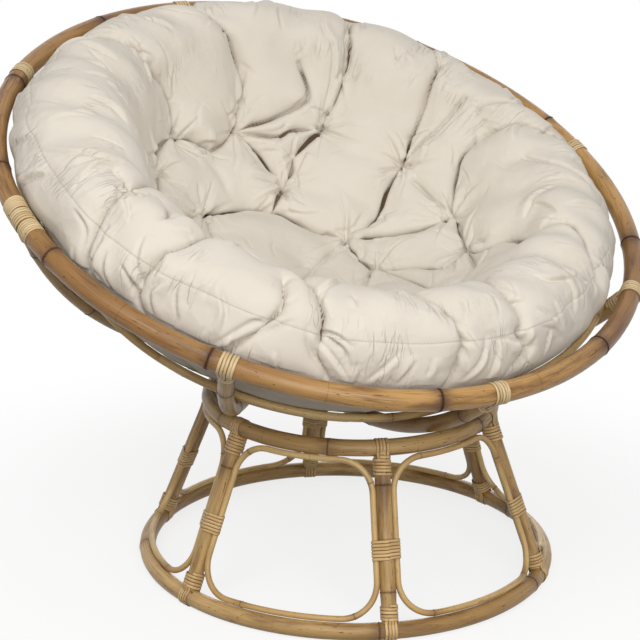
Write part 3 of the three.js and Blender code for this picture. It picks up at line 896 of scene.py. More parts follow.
def passStations(spot, lane, ring, pole, tail, draw):
    # One pass over the ring, down both flanks of the joining pole.
    reach = ring + gap
    beside = lane * 0.84
    flank = math.sqrt(max(pole ** 2 - beside ** 2, (0.25 * pole) ** 2)) + gap
    facing = math.asin(max(-0.95, min(0.95, beside / pole)))
    wobble = draw.uniform(-0.0003, 0.0003)
    flanks = []
    for sign in (-1, 1):
        tailOut = awayFrom(spot, 0, sign * math.cos(facing), math.sin(facing))
        half = [(spot["at"] + awayFrom(spot, tail, sign * flank, beside), tailOut)]
        near = awayFrom(spot, ring + 0.25 * (tail - ring), sign * (flank + 0.0006), lane * 0.9)
        half.append((spot["at"] + near, tailOut))
        for angle in (128, 100, 72, 45, 20):
            bend = math.radians(angle)
            out = awayFrom(spot, -math.cos(bend), sign * math.sin(bend))
            half.append((spot["at"] + spot["side"] * (lane + wobble * sign) + out * reach, out))
        flanks.append(half)
    crown = (spot["at"] + awayFrom(spot, -reach, 0, lane), -spot["lead"])
    places, outs = zip(*flanks[0], crown, *reversed(flanks[1]))
    return list(zip(smoothRun(places, strip["smoothSpans"]), smoothRun(outs, strip["smoothSpans"])))


def collarStations(spot, pole, first, turns, startTurn, draw):
    # Turns round the joining pole, riding over the tails that lie on its flanks.
    phase = draw.uniform(0, 10)
    stations = []
    for k in range(round(turns * strip["turnSteps"]) + 1):
        angle = startTurn + k * math.tau / strip["turnSteps"]
        slip = noise.noise(Vector((phase, k * 0.11, 0))) * 0.0007
        out = awayFrom(spot, 0, math.cos(angle), math.sin(angle))
        ride = strip["thick"] * strip["overlap"] * min(1, max(0, (abs(math.cos(angle)) - 0.35) / 0.3))
        puff = 0.0002 * (1 + noise.noise(Vector((phase + 4, k * 0.17, 1))))
        depth = first + strip["pitch"] * k / strip["turnSteps"] + slip
        stations.append((spot["at"] + spot["lead"] * depth + out * (pole + gap + ride + puff), out))
    return stations


def bindJoint(spot, ring, pole, seed, passes, tailRoom, turns):
    work = StripWork(seed)
    draw = work.draw
    pitch = strip["pitch"]
    first = ring + tailRoom
    for k in range(passes):
        lane = (k - (passes - 1) / 2) * pitch + draw.uniform(-0.0003, 0.0003)
        work.lay(passStations(spot, lane, ring, pole, first + pitch * 1.2, draw))
    startTurn = draw.uniform(-0.6, 0.6)
    for k in range(int(turns) + 1):
        part = min(1.0, turns - k)
        if part > 0.05:
            work.lay(collarStations(spot, pole, first + k * pitch, part + 0.06, startTurn, draw))
    for sign in (-1, 1):
        for depth in (first + pitch * 0.5, first + pitch * (turns - 0.4)):
            out = awayFrom(spot, 0, sign, draw.uniform(-0.35, 0.35)).normalized()
            under = pole + gap + strip["thick"] * strip["overlap"]
            work.brad(spot["at"] + spot["lead"] * depth + out * under, out)
        out = awayFrom(spot, -0.5, sign * 0.9).normalized()
        shift = spot["side"] * pitch * draw.choice((-1.5, -0.5, 0.5, 1.5))
        work.brad(spot["at"] + shift + out * (ring + gap), out)
    return work


def lashLeg(spot, seed, turns=5.5):
    # Turns round the leg and the two canes beside it, pulled straight between them.
    work = StripWork(seed)
    draw = work.draw
    leg = legPole + gap
    cane = panelCane + gap
    tangent = math.acos((leg - cane) / caneOffset)
    outline = []
    for centre, radius, first, last in (
        (caneOffset, cane, -tangent, tangent),
        (0.0, leg, tangent, math.pi - tangent),
        (-caneOffset, cane, math.pi - tangent, math.pi + tangent),
        (0.0, leg, math.pi + tangent, math.tau - tangent),
    ):
        outline += [Vector((centre + radius * math.cos(angle), radius * math.sin(angle), angle))
                    for angle in between(first, last, 7)]
    corners = len(outline)
    lengths = lengthsAlong([corner.xy for corner in outline + outline[:1]])
    start = legLength * chair["lashingPlace"] - turns * strip["pitch"] / 2
    firstCorner = draw.randrange(corners)
    for turn in range(int(turns) + 1):
        tilt = draw.uniform(-0.0005, 0.0005)
        stations = []
        for k in range(round(min(1.0, turns - turn) * corners) + 2):
            a, o, angle = outline[(firstCorner + k) % corners]
            share = lengths[k % corners] / lengths[-1] + k // corners
            depth = start + strip["pitch"] * (turn + share) + tilt * math.cos(angle)
            out = awayFrom(spot, 0, math.sin(angle), math.cos(angle))
            stations.append((spot["at"] + awayFrom(spot, depth, o, a), out))
        work.lay(stations)
    for depth in (0.5, turns - 0.6):
        for sign in (-1, 1):
            shift = awayFrom(spot, start + strip["pitch"] * depth, sign * leg, draw.uniform(-0.004, 0.004))
            work.brad(spot["at"] + shift, spot["face"] * sign)
    return work


def bindSplice(spot, seed, wraps=6, pitch=0.0045):
    # The rim's long wrap: turns round the rim on both sides of the rib, and passes over it between them.
    work = bindJoint(spot, rimPole, ribPole, seed, 5, 0.006, 2.5)
    draw = work.draw
    reach = rimPole + gap
    first = strip["pitch"] * 2.5 + pitch * 0.55
    inward = -outward(ribAzimuth(chair["spliceRib"]))
    for sign in (-1, 1):
        for wrap in range(wraps):
            stations = []
            for k in range(strip["turnSteps"] + 2):
                angle = math.pi + sign * k * math.tau / strip["turnSteps"]
                turned = sign * (first + pitch * (wrap + k / strip["turnSteps"])) / rimRadius
                out = awayFrom(spot, -math.cos(angle), math.sin(angle))
                centre = spot["at"] + spot["side"] * (math.sin(turned) * rimRadius)
                centre = centre + inward * (rimRadius * (1 - math.cos(turned)))
                stations.append((centre + out * reach, out))
            work.lay(stations, pitch * 0.93)
        for share in (0.2, wraps - 0.4):
            face, back = draw.uniform(0.5, 1), draw.uniform(0.6, 1)
            out = awayFrom(spot, -back, face).normalized()
            work.brad(spot["at"] + spot["side"] * (sign * (first + pitch * share)) + out * reach, out)
    return work


# Heads: a low round bead on every point, turned to the point's own direction.
bradSize = dict(radius=0.0010, flatness=0.55, sides=10, variety=0.15)


def buildHeadTree():
    graph, given = startTree(
        "headsOnPoints", ("Radius", "Float", bradSize["radius"]), ("Flatness", "Float", bradSize["flatness"]),
        ("Sides", "Int", bradSize["sides"]), ("Seed", "Int", 5))
    facing = named(graph, "facing", "FLOAT_VECTOR")
    turned = graph.add("FunctionNodeAlignRotationToVector", dict(axis="Z"), {"Vector": facing})
    head = graph.add("GeometryNodeMeshUVSphere", None,
                     {"Segments": given["Sides"], "Rings": 6, "Radius": given["Radius"]})
    spread = {2: 1 - bradSize["variety"], 3: 1 + bradSize["variety"], "Seed": given["Seed"]}
    vary = graph.add("FunctionNodeRandomValue", dict(data_type="FLOAT"), spread, out=1)
    scale = graph.add("ShaderNodeCombineXYZ", None, {0: vary, 1: vary, 2: given["Flatness"]})
    placed = graph.add("GeometryNodeInstanceOnPoints", None,
                       {"Points": given["Geometry"], "Instance": head, "Rotation": turned, "Scale": scale})
    return endTree(graph, placed, given["Material"])


headTree = buildHeadTree()


def headsMesh(heads, values):
    places, ways = zip(*heads)
    source = bpy.data.meshes.new("headPlaces")
    source.from_pydata([tuple(place) for place in places], [], [])
    mark(source, "facing", ways, "FLOAT_VECTOR")
    return runTree(headTree, source, values)


# How each joint is bound: passes over the ring, bare tail below it, turns round the joining pole. A leg's rows
# begin with their first seed.
legBindings = dict(top=(100, 4, 0.001, 5.2), foot=(300, 4, 0.002, 4.4))
rimBindings = {
    0: (5, 0.013, 2.6),
    1: (5, 0.002, 4.5),
    2: (5, 0.003, 4.0),
    3: (5, 0.006, 3.4),
    4: (5, 0.008, 3.0),
    5: (5, 0.003, 3.6),
    7: (5, 0.002, 2.2),
}


def makeBindings():
    brads = dict(base=[], bowl=[])

    def bind(name, work, body, strips, node):
        addPiece(name, work.mesh(strips), body, "strip", node)
        # A brad this near the floor would go through it.
        brads[body] += [(at, out) for at, out in work.brads if body == "bowl" or at.z > 0.004]

    for number in range(legCount):
        name = str(number + 1)
        for part, spot in zip(("top", "foot"), legJoints(number)):
            seed, *shape = legBindings[part]
            work = bindJoint(spot, ringPole, legPole, seed + number, *shape)
            for vertex in work.verts:
                vertex.z = max(vertex.z, 0.0)
            bind("leg" + part.title() + "Binding" + name, work, "base", baseStrips, f"leg_{part}_binding_{name}")
            if part == "top":
                lashing = lashLeg(spot, 200 + number)
                bind("legLashing" + name, lashing, "base", baseStrips, "leg_mid_lashing_" + name)
    for number in range(ribCount):
        spot = ribJoints(number)[0]
        if number == chair["spliceRib"]:
            bind("rimSpliceBinding", bindSplice(spot, 400 + number), "bowl", rimStrips, "rim_splice_binding")
        else:
            work = bindJoint(spot, rimPole, ribPole, 400 + number, *rimBindings[number])
            bind(f"rimBinding{number + 1}", work, "bowl", rimStrips, f"rim_binding_{number + 1}")
    for body, heads in brads.items():
        mesh = headsMesh(heads, {"Radius": bradSize["radius"], "Material": bradSteel})
        addPiece(body + "Brads", mesh, body, "strip")


makeBindings()
print("bindings and brads made")


# The cushion: an overstuffed dished disc, drawn down by tufts, with creases between them and round its edge.
cushion = dict(
    under=hoopSphere - hoopCane - 0.0008,
    chart=0.43,             # sphere radius on which distances over its face are measured
    creaseDepth=0.028,
    creaseNear=0.010,
    creaseFar=0.065,
    creaseHold=0.006,       # how far from a crease or a tuft the cloth is held
    tuftDepth=0.036,
    tuftNear=0.020,
    tuftHold=0.009,
    unevenness=0.004,
    underRelief=0.4,
    slack=0.010,            # how much smaller the cloth is cut than the CAD cushion
    # How far the roll stands out (mm) by azimuth: it isn't quite round.
    swells=((0, 0), (40, -3), (70, -8), (90, -13), (115, -16), (140, -9), (160, -9), (182, -9), (195, -4),
            (210, 0), (225, 5), (242, 20), (258, 20), (268, 16), (300, 5), (330, 0), (360, 0)),
    sectors=240,
    rings=(58, 30, 26),     # on the top, round the roll and underneath
    finer=4,                # the finished cloth has this many spans to one of the simulated cloth
    frames=20,
    farthest=0.023,         # cap on how far the pressure moves the cloth
    lineDepth=0.0070,
    lineWidth=0.0024,
    lineWander=0.0006,
    tuftDot=0.0050,
    tuftDotDepth=0.7,
    lipHeight=0.0026,
    lipPlace=0.0085,
    lipWidth=0.0060,
    seamReach=82.6,         # degrees on the chart
    seamDepth=0.0009,
    seamWidth=0.0022,
    panelSeamWidth=0.0026,
    seamPanels=11,
    seamWander=((0.0022, 9, 0), (0.0012, 23, 1)),
)
chart, roll = cushion["chart"], chair["cushionThick"] / 2
middleSphere = cushion["under"] - roll
edgePolar = math.asin(chair["cushionEdgeRadius"] / middleSphere)
cloth = dict(quality=5, mass=0.25, tension_stiffness=12, compression_stiffness=5, shear_stiffness=3,
             bending_stiffness=0.1, air_damping=2, shrink_min=-0.02, shrink_max=-0.02, use_pressure=True,
             uniform_pressure_force=4.0, vertex_group_mass="held", pin_stiffness=6)

# Tufts, as (polar angle, azimuth) in degrees about the bowl's centre.
tufts = dict(
    outA=(42.6, 211), outB=(39.1, 182.5), outC=(41, 147), outD=(40.1, 114), outE=(38.9, 81), outF=(39.5, 60),
    outG=(41, 24), outH=(41, 346), outI=(41, 308), outJ=(42, 266), outK=(39.7, 230.5),
    inA=(24.1, 163.5), inB=(15.2, 105), inC=(17.8, 60.5), inD=(25, 228), inE=(20, 318),
)

# Creases: the places they pass through, each a tuft or (polar, azimuth), then depth and width as shares.
creases = (
    (("outA", (45.8, 208), (49.2, 206), (54.7, 207), (58.7, 209.5), (66.5, 212), (80, 214)), 1.0, 1.1),
    (("outA", (39.7, 204.5), (35.7, 197)), 1.0, 0.7),
    (("outB", (36.5, 190), (35.7, 197.5)), 0.9, 0.7),
    (("outB", (34, 175), (28.5, 170), "inA"), 1.0, 1.0),
    (("outC", (33.4, 156), (27.9, 158.5), "inA"), 1.0, 0.9),
    (("inA", (19.9, 170), (17.1, 175.5)), 0.9, 0.6),
    (("outB", (37.2, 165.5), (39.1, 158.5), "outC"), 0.75, 0.7),
    (("outB", (44.5, 158.5), (48.3, 154), (55.9, 158)), 0.7, 0.6),
    (("outB", (42.9, 180), (50.7, 176.5), (57.8, 178), (66.9, 180.5), (76, 184), (84, 190)), 1.0, 1.0),
    (("outC", (46.4, 145.5), (54.9, 144), (63.3, 144.5), (80, 146)), 1.0, 0.9),
    (("outA", (42.9, 223), "outK"), 0.9, 0.9),
    (("inD", (21.8, 216.5), (19.5, 196), (17.4, 177)), 1.0, 1.0),
    (((17.4, 175), (16.1, 165.5), (14.2, 152), (13.1, 121), "inB"), 1.0, 0.9),
    (("inD", (33, 250), "outJ"), 0.9, 0.8),
    (("outD", (33.4, 112), (23.9, 104), "inB"), 0.95, 0.8),
    (("outD", (51.7, 118), (62.9, 120.5), (72, 121)), 0.85, 0.8),
    (("outD", (51.1, 111), (62.5, 109.5)), 0.5, 0.6),
    (("outE", (43.9, 91), (49.2, 97.5), (54.2, 98.5)), 0.8, 0.7),
    (("outE", (38.6, 85.5), (38, 105)), 0.5, 0.8),
    (("outE", (30.6, 83), (24.1, 89), (18.4, 97.5), "inB"), 0.9, 0.8),
    (((57.2, 97.5), (62, 95), (69.2, 92.5), (80, 86)), 0.6, 0.7),
    (((61, 104.5), (67.7, 102), (76, 98)), 0.4, 0.6),
    (((61.6, 81), (70.5, 72.5), (80, 67)), 0.4, 0.6),
    (("outE", (38.9, 68.5), "outF"), 0.9, 0.8),
    (("outF", (45.2, 54), (50.9, 54), (58.2, 47.5), (70.5, 48.5), (84, 37)), 0.95, 0.8),
    (("outF", (34.6, 51.5), (28.3, 55), "inC"), 0.85, 0.8),
    (("inB", (14.8, 73.5), "inC"), 0.8, 0.8),
    (("outF", (43, 42), "outG"), 0.7, 0.8),
    (("outG", (30, 38), "inC"), 0.6, 0.8),
    (("outG", (56, 14), (70, 10), (80.2, 9.5), (83.1, 7.5), (86.9, 9), (93, 6)), 0.8, 0.65),
    (("outG", "outH"), 0.8, 0.9),
    (("outH", (58, 349), (70, 352), (76, 354), (82.3, 354.5), (93, 353)), 0.85, 0.65),
    (("outH", (30, 334), "inE"), 0.7, 0.9),
    (("outH", "outI"), 0.8, 0.9),
    (("outI", (60, 320), (70, 326), (79, 328.5), (86.7, 328.5), (93, 331)), 0.9, 0.7),
    (("outI", (30, 310), "inE"), 0.7, 0.9),
    (("outI", (60, 300), (72.6, 298), (80.4, 296), (89.6, 296), (94, 298)), 0.8, 0.7),
    (("outI", "outJ"), 0.8, 0.9),
    (("outJ", (58, 274), (70, 279), (82.5, 282), (92, 285)), 0.65, 0.65),
    (("outJ", "outK"), 0.8, 0.9),
    (("outK", (48.8, 238.5), (55.9, 242.5)), 0.4, 0.7),
    (("inB", (4.9, 59), "inE"), 0.35, 0.9),
    (("inC", (17, 12), "inE"), 0.6, 0.9),
    (("inE", (22, 272), "inD"), 0.6, 0.9),
    (((70, 319), (80.2, 320), (89.6, 315.5), (94, 313)), 0.6, 0.7),
    (((71.7, 273), (70.7, 281), (65, 283.5), (70.5, 291)), 0.45, 0.8),
)

# Pleats: narrow folds that show, with their height in millimetres.
pleats = (
    (((42, 186), (48.4, 177), (55, 175)), 3.5),
    (((42, 150), (50, 147.5), (60, 149), (66, 152)), 3.0),
    (((57.1, 215), (60.8, 213), (63.1, 211)), 3.5),
    (((72, 211), (67.3, 212), (62.6, 209), (58, 209)), 4.0),
    (((78, 223), (72.7, 224), (67, 224)), 3.0),
    (((73, 231), (67, 229)), 2.0),
    (((72.3, 238), (66, 235)), 2.0),
    (((72.8, 262), (66, 265)), 2.5),
    (((55.1, 243), (52, 254)), 2.5),
    (((83.6, 260), (79, 265), (72.5, 270), (66, 272)), 3.0),
    (((88, 245), (81.2, 247), (76, 250)), 4.0),
    (((90, 252), (82.2, 257)), 3.0),
    (((89, 238), (80, 240)), 3.5),
    (((91, 262), (84, 266)), 3.0),
    (((81, 284), (86.5, 285.5), (93, 287)), 4.5),
    (((85, 287), (89.1, 289), (93, 292)), 4.0),
    (((82.5, 318), (87.3, 314), (92, 311)), 4.5),
    (((81, 323), (85.4, 319), (88, 317)), 3.5),
    (((80, 303), (84, 302), (90, 304)), 3.5),
    (((78, 291), (83, 293), (87.5, 296)), 4.0),
    (((85.5, 291), (88, 294.5), (93, 296.5)), 4.0),
    (((83, 300), (87, 298), (92, 300)), 4.0),
    (((83.5, 277), (85, 281), (90, 283)), 3.5),
    (((80, 309), (84.5, 311.5), (89, 312)), 3.5),
    (((82, 328), (82.5, 331), (84.5, 334)), 4.5),
    (((83, 329), (84.9, 332.5), (88.5, 334)), 4.0),
    (((84, 328), (87, 331), (92, 335)), 3.0),
    (((92, 337), (88, 340), (84, 343)), 3.0),
    (((92, 343), (86, 346)), 2.5),
    (((76, 354), (80.3, 354), (84, 357)), 3.5),
    (((82, 0), (86, 359), (92, 355)), 4.0),
    (((83, 3), (88.8, 1.5), (92, 0)), 3.5),
    (((73, 8), (77, 12)), 2.5),
    (((79, 14), (84, 18)), 3.0),
    (((71, 20), (75, 22), (78, 27)), 3.5),
    (((67, 29), (73, 26)), 3.0),
    (((74, 29), (77.6, 30), (82, 33)), 3.5),
    (((92, 8), (84.7, 11)), 3.5),
    (((91, 14), (85, 16)), 3.0),
    (((40, 60), (43, 60), (45, 57)), 4.0),
    (((61, 103), (66, 99)), 2.5),
)


def chartPlace(end):
    polar, azimuth = tufts[end] if isinstance(end, str) else end
    reach = math.radians(polar) * chart
    return np.array([reach * math.sin(math.radians(azimuth)), reach * math.cos(math.radians(azimuth))])


def smoothPath(places, spans=5):
    # A smooth line through two or more chart places.
    return between(*places, spans) if len(places) == 2 else smoothRun(places, spans)


creasePaths = [(smoothPath([chartPlace(end) for end in ends]), depth, width) for ends, depth, width in creases]
tuftPlaces = [chartPlace(name) for name in tufts]


def bump(distance, width):
    return np.exp(-(distance / width) ** 2)


def clipped(values, low, high):
    # How far the values are from low to high, from 0 to 1.
    return np.clip((values - low) / (high - low), 0, 1)


def nearPath(flat, path):
    # For chart places: distance to the path with its side as the sign, share of its length at the nearest point.
    best = np.full(len(flat), 9.0)
    signed, share = best.copy(), np.zeros(len(flat))
    lengths = [np.linalg.norm(after - before) for before, after in zip(path, path[1:])]
    total = sum(lengths)
    travelled = 0.0
    for before, after, length in zip(path, path[1:], lengths):
        run = after - before
        t = np.clip(((flat - before) @ run) / length ** 2, 0, 1)
        offset = flat - before - t[:, None] * run
        distance = np.linalg.norm(offset, axis=1)
        closer = distance < best
        side = np.sign(offset @ np.array([-run[1], run[0]]))
        best = np.where(closer, distance, best)
        signed = np.where(closer, distance * side, signed)
        share = np.where(closer, (travelled + t * length) / total, share)
        travelled += length
    return signed, share, total


def drawnIn(flat):
    # How deep the creases and tufts draw the cloth in at each chart place, and how firmly they hold it.
    drawn = np.zeros(len(flat))
    hold = np.zeros(len(flat))
    for path, depth, width in creasePaths:
        distance = np.abs(nearPath(flat, path)[0])
        near = np.exp(-distance / (cushion["creaseNear"] * width))
        far = np.clip(1 - distance / (cushion["creaseFar"] * width), 0, 1) ** 2
        drawn = np.maximum(drawn, depth * cushion["creaseDepth"] * (0.7 * near + 0.3 * far))
        hold = np.maximum(hold, depth ** 1.5 * bump(distance, cushion["creaseHold"]))
    for place in tuftPlaces:
        distance = np.linalg.norm(flat - place, axis=1)
        drawn = np.maximum(drawn, cushion["tuftDepth"] * np.exp(-distance / cushion["tuftNear"]))
        hold = np.maximum(hold, 1.5 * bump(distance, cushion["tuftHold"]))
    azimuth = np.degrees(np.arctan2(flat[:, 0], flat[:, 1])) % 360
    outer = clipped(np.degrees(np.linalg.norm(flat, axis=1) / chart), 45, 62)
    swell = np.interp(azimuth, *zip(*cushion["swells"])) / 1000 * outer * outer * (3 - 2 * outer)
    x, y = flat.T
    uneven = np.sin(x * 31 + 1.1) * np.sin(y * 27 + 0.4) + 0.6 * np.sin((x - y) * 44)
    drawn = drawn + cushion["slack"] - swell - cushion["unevenness"] * uneven * (1 - clipped(drawn, 0, 0.02))
    return drawn, np.clip(hold, 0, 1)


def formGrid(finer):
    # The cushion's form before it is blown up, as arrays of rows by sectors. The rows go from the middle of the
    # top, over the roll, to the middle of the underside, where the tufts show too, but less.
    azimuths = np.arange(cushion["sectors"] * finer) * math.tau / (cushion["sectors"] * finer)
    sines, cosines, zeros = np.sin(azimuths), np.cos(azimuths), np.zeros(len(azimuths))
    around = np.stack([sines, -cosines, zeros], 1)
    chartAround = np.stack([sines, cosines], 1)
    down = np.array([0, 0, -1.0])
    edge = around * math.sin(edgePolar) + down * math.cos(edgePolar)
    aside = around * math.cos(edgePolar) - down * math.sin(edgePolar)
    topRows, rollRows, underRows = (count * finer for count in cushion["rings"])
    rows = []
    for k in range(topRows + rollRows + underRows + 1):
        if topRows < k <= topRows + rollRows:
            turn = math.pi * (k - topRows) / rollRows
            out = aside * math.sin(turn) - edge * math.cos(turn)
            place = edge * middleSphere + out * roll
            reach = edgePolar * chart + roll * turn
            below = min(1.0, max(0.0, (turn - 1.9) / 0.9))
            relief = 1 - min(1.0, max(0.0, (turn - 2.5) / 0.64))
        else:
            below = float(k > topRows)
            share = 1 - (k - topRows - rollRows) / underRows if below else k / topRows
            direction = around * math.sin(edgePolar * share) + down * math.cos(edgePolar * share)
            out = direction if below else -direction
            place = direction * (cushion["under"] if below else cushion["under"] - chair["cushionThick"])
            reach = edgePolar * share * chart
            relief = cushion["underRelief"] * min(1.0, (1 - share) / 0.12) if below else 1.0
        rows.append((place, out, chartAround * reach, below, relief))
    places, outs, flats, belows, reliefs = (np.stack(values) for values in zip(*rows))
    fade = reliefs[:, None]
    drawn, hold = (values.reshape(flats.shape[:2]) for values in drawnIn(flats.reshape(-1, 2)))
    drawn = (drawn - cushion["slack"] * belows[:, None]) * fade
    drawn = np.where(belows[:, None] == 1, np.maximum(drawn, 0), drawn)
    return places - outs * drawn[:, :, None], flats, belows, fade, hold * fade


def perPoint(grid):
    # One value of each point of the closed mesh: the first and last rows are single points.
    return np.concatenate([grid[0, :1], grid[1:-1].reshape(-1, *grid.shape[2:]), grid[-1, :1]])


def perPlace(values, rows, sectors):
    head, tail = (np.repeat(end, sectors, axis=0)[None] for end in (values[:1], values[-1:]))
    return np.concatenate([head, values[1:-1].reshape(rows - 2, sectors, -1), tail])


def closedMesh(name, places):
    count, sectors = places.shape[:2]
    verts = perPoint(places)
    k = np.arange(sectors)
    after = (k + 1) % sectors
    base = 1 + (count - 3) * sectors
    cap = np.stack([np.zeros(sectors, int), 1 + k, 1 + after], 1)
    foot = np.stack([np.full(sectors, len(verts) - 1), base + after, base + k], 1)
    here = (1 + np.arange(count - 3) * sectors)[:, None]
    quads = np.stack([here + k, here + sectors + k, here + sectors + after, here + after], 2).reshape(-1, 4)
    mesh = bpy.data.meshes.new(name)
    mesh.from_pydata(verts.tolist(), [], cap.tolist() + quads.tolist() + foot.tolist())
    return mesh


def meshPoints(mesh):
    flat = np.empty(len(mesh.vertices) * 3)
    mesh.vertices.foreach_get("co", flat)
    return flat.reshape(-1, 3)


def inflate(places, belows, hold):
    # Pressure blows the cloth up while the tufts, the creases and the seat hold it; gives how far places move.
    piece = linked("cloth", closedMesh("cloth", places))
    levels = np.round(perPoint(np.maximum(hold * 0.9, belows[:, None] * 0.85)), 2)
    group = piece.vertex_groups.new(name=cloth["vertex_group_mass"])
    for level in np.unique(levels[levels > 0]):
        group.add(np.nonzero(levels == level)[0].tolist(), float(level), "REPLACE")
    modifier = piece.modifiers.new("cloth", "CLOTH")
    for name, value in cloth.items():
        setattr(modifier.settings, name, value)
    modifier.settings.effector_weights.gravity = 0
    modifier.point_cache.frame_start = 1
    modifier.point_cache.frame_end = cushion["frames"]
    start = meshPoints(piece.data)
    for number in range(1, cushion["frames"] + 1):
        bpy.context.scene.frame_set(number)
    graph = bpy.context.evaluated_depsgraph_get()
    moved = meshPoints(bpy.data.meshes.new_from_object(piece.evaluated_get(graph))) - start
    piece.modifiers.remove(modifier)
    bpy.data.objects.remove(piece)
    bpy.context.scene.frame_set(1)
    far = np.linalg.norm(moved, axis=1)
    limit = cushion["farthest"]
    share = limit * np.tanh(far / limit) / np.maximum(far, 1e-9)
    print("cushion inflated, farthest move", round(float(far.max()), 4))
    moved = perPlace(moved * share[:, None], *places.shape[:2]) * (1 - belows * 0.8)[:, None, None]
    for k in range(2):
        moved = 0.5 * moved + 0.25 * (np.roll(moved, 1, 1) + np.roll(moved, -1, 1))
        moved[1:-1] = 0.5 * moved[1:-1] + 0.25 * (moved[2:] + moved[:-2])
    return moved


def finerAlong(values, finer, axis, closed):
    # Puts (finer - 1) smooth values between each two along an axis.
    count = values.shape[axis]
    index = np.arange(count)
    shifted = [np.take(values, (index + shift) % count if closed else np.clip(index + shift, 0, count - 1), axis)
               for shift in (-1, 0, 1, 2)]
    woven = np.stack([smoothStep(*shifted, step / finer) for step in range(finer)], axis + 1)
    shape = list(values.shape)
    shape[axis] *= finer
    woven = woven.reshape(shape)
    return woven if closed else np.take(woven, np.arange(shape[axis] - finer + 1), axis)


def gridNormals(places):
    down = np.empty_like(places)
    down[1:-1] = places[2:] - places[:-2]
    down[0] = places[1] - places[0]
    down[-1] = places[-1] - places[-2]
    around = np.roll(places, -1, 1) - np.roll(places, 1, 1)
    normals = np.cross(down, around)
    normals /= np.maximum(np.linalg.norm(normals, axis=2, keepdims=True), 1e-12)
    normals[0] = normals[1].mean(0)
    normals[-1] = normals[-2].mean(0)
    return normals


# Folds: narrow ones fan out of each tuft, run beside the creases and cross the roll.
folds = dict(
    seed=41,
    fromTuft=7,
    tuftLength=(0.030, 0.095),
    tuftHeight=(0.0028, 0.0058),
    besideCrease=4,
    besideLength=(0.03, 0.085),
    besideHeight=(0.0022, 0.0050),
    acrossRoll=140,
    rollLength=(0.03, 0.11),
    rollHeight=(0.0018, 0.0050),
    onFace=24,
    faceLength=(0.03, 0.09),
    faceHeight=(0.0006, 0.0014),
    width=(0.0031, 0.0058),
    pleatWidth=(0.0036, 0.0052),
    pleatShare=1 / 700,     # a pleat's height in metres for each of its millimetres
)


def turned(direction, angle):
    cosine, sine = math.cos(angle), math.sin(angle)
    return np.array([direction[0] * cosine - direction[1] * sine, direction[0] * sine + direction[1] * cosine])


def heading(angle):
    return np.array([math.sin(angle), math.cos(angle)])


def foldPaths():
    draw = random.Random(folds["seed"])
    made = []

    def add(start, direction, length, height, fading):
        bend = draw.uniform(-0.5, 0.5)
        middle = start + direction * length * 0.5
        end = middle + turned(direction, bend) * length * 0.5
        path = smoothPath([start, middle, end], 3)
        made.append((path, height, draw.uniform(*folds["width"]), draw.choice((-1, 1)), fading))

    for ends, height in pleats:
        path = smoothPath([chartPlace(end) for end in ends])
        width = draw.uniform(*folds["pleatWidth"])
        made.append((path, height * folds["pleatShare"], width, draw.choice((-1, 1)), "both"))
    for place in tuftPlaces:
        first = draw.uniform(0, math.tau)
        for k in range(folds["fromTuft"]):
            direction = heading(first + (k + draw.uniform(-0.35, 0.35)) * math.tau / folds["fromTuft"])
            length = draw.uniform(*folds["tuftLength"])
            add(place + direction * 0.006, direction, length, draw.uniform(*folds["tuftHeight"]), "out")
    for path, depth, width in creasePaths:
        for k in range(folds["besideCrease"]):
            spot = draw.randrange(1, len(path) - 1)
            direction = path[spot + 1] - path[spot - 1]
            direction = direction / np.linalg.norm(direction) * draw.choice((-1, 1))
            side = draw.choice((-1, 1))
            start = path[spot] + turned(direction, side * math.pi / 2) * draw.uniform(0.002, 0.012)
            height = draw.uniform(*folds["besideHeight"]) * (0.4 + 0.6 * depth)
            angle = side * draw.uniform(0.1, 0.8)
            add(start, turned(direction, angle), draw.uniform(*folds["besideLength"]), height, "out")
    for k in range(folds["acrossRoll"]):
        azimuth = (k + draw.uniform(-0.5, 0.5)) * 360 / folds["acrossRoll"]
        start = chartPlace((draw.uniform(62, 97), azimuth))
        direction = turned(start / np.linalg.norm(start), draw.gauss(0, 0.45)) * draw.choice((-1, 1))
        add(start, direction, draw.uniform(*folds["rollLength"]), draw.uniform(*folds["rollHeight"]), "both")
    for k in range(folds["onFace"]):
        start = chartPlace((60 * math.sqrt(draw.random()), draw.uniform(0, 360)))
        direction = heading(draw.uniform(0, math.tau))
        add(start, direction, draw.uniform(*folds["faceLength"]), draw.uniform(*folds["faceHeight"]), "both")
    return made


def foldHeights(flat):
    # Each fold is a groove with a ridge along one side, steep by the groove, and dies away towards its end.
    total = np.zeros(len(flat))
    for path, height, width, side, fading in foldPaths():
        reach = sum(np.linalg.norm(after - before) for before, after in zip(path, path[1:])) / 2 + 6 * width
        chosen = np.nonzero(((flat - path[len(path) // 2]) ** 2).sum(1) < reach ** 2)[0]
        if len(chosen) == 0:
            continue
        signed, share, length = nearPath(flat[chosen], path)
        if fading == "out":
            along = np.clip(1 - share, 0, 1) ** 0.8 * np.clip(share * 8 + 0.25, 0, 1)
        else:
            along = np.sin(np.clip(share, 0.0, 1.0) * math.pi) ** 0.8
        x = signed * side
        past = x - 1.3 * width
        profile = 0.9 * bump(past, np.where(past > 0, 2.6, 0.9) * width) - bump(x, 0.75 * width)
        total[chosen] += height * along * profile
    return total


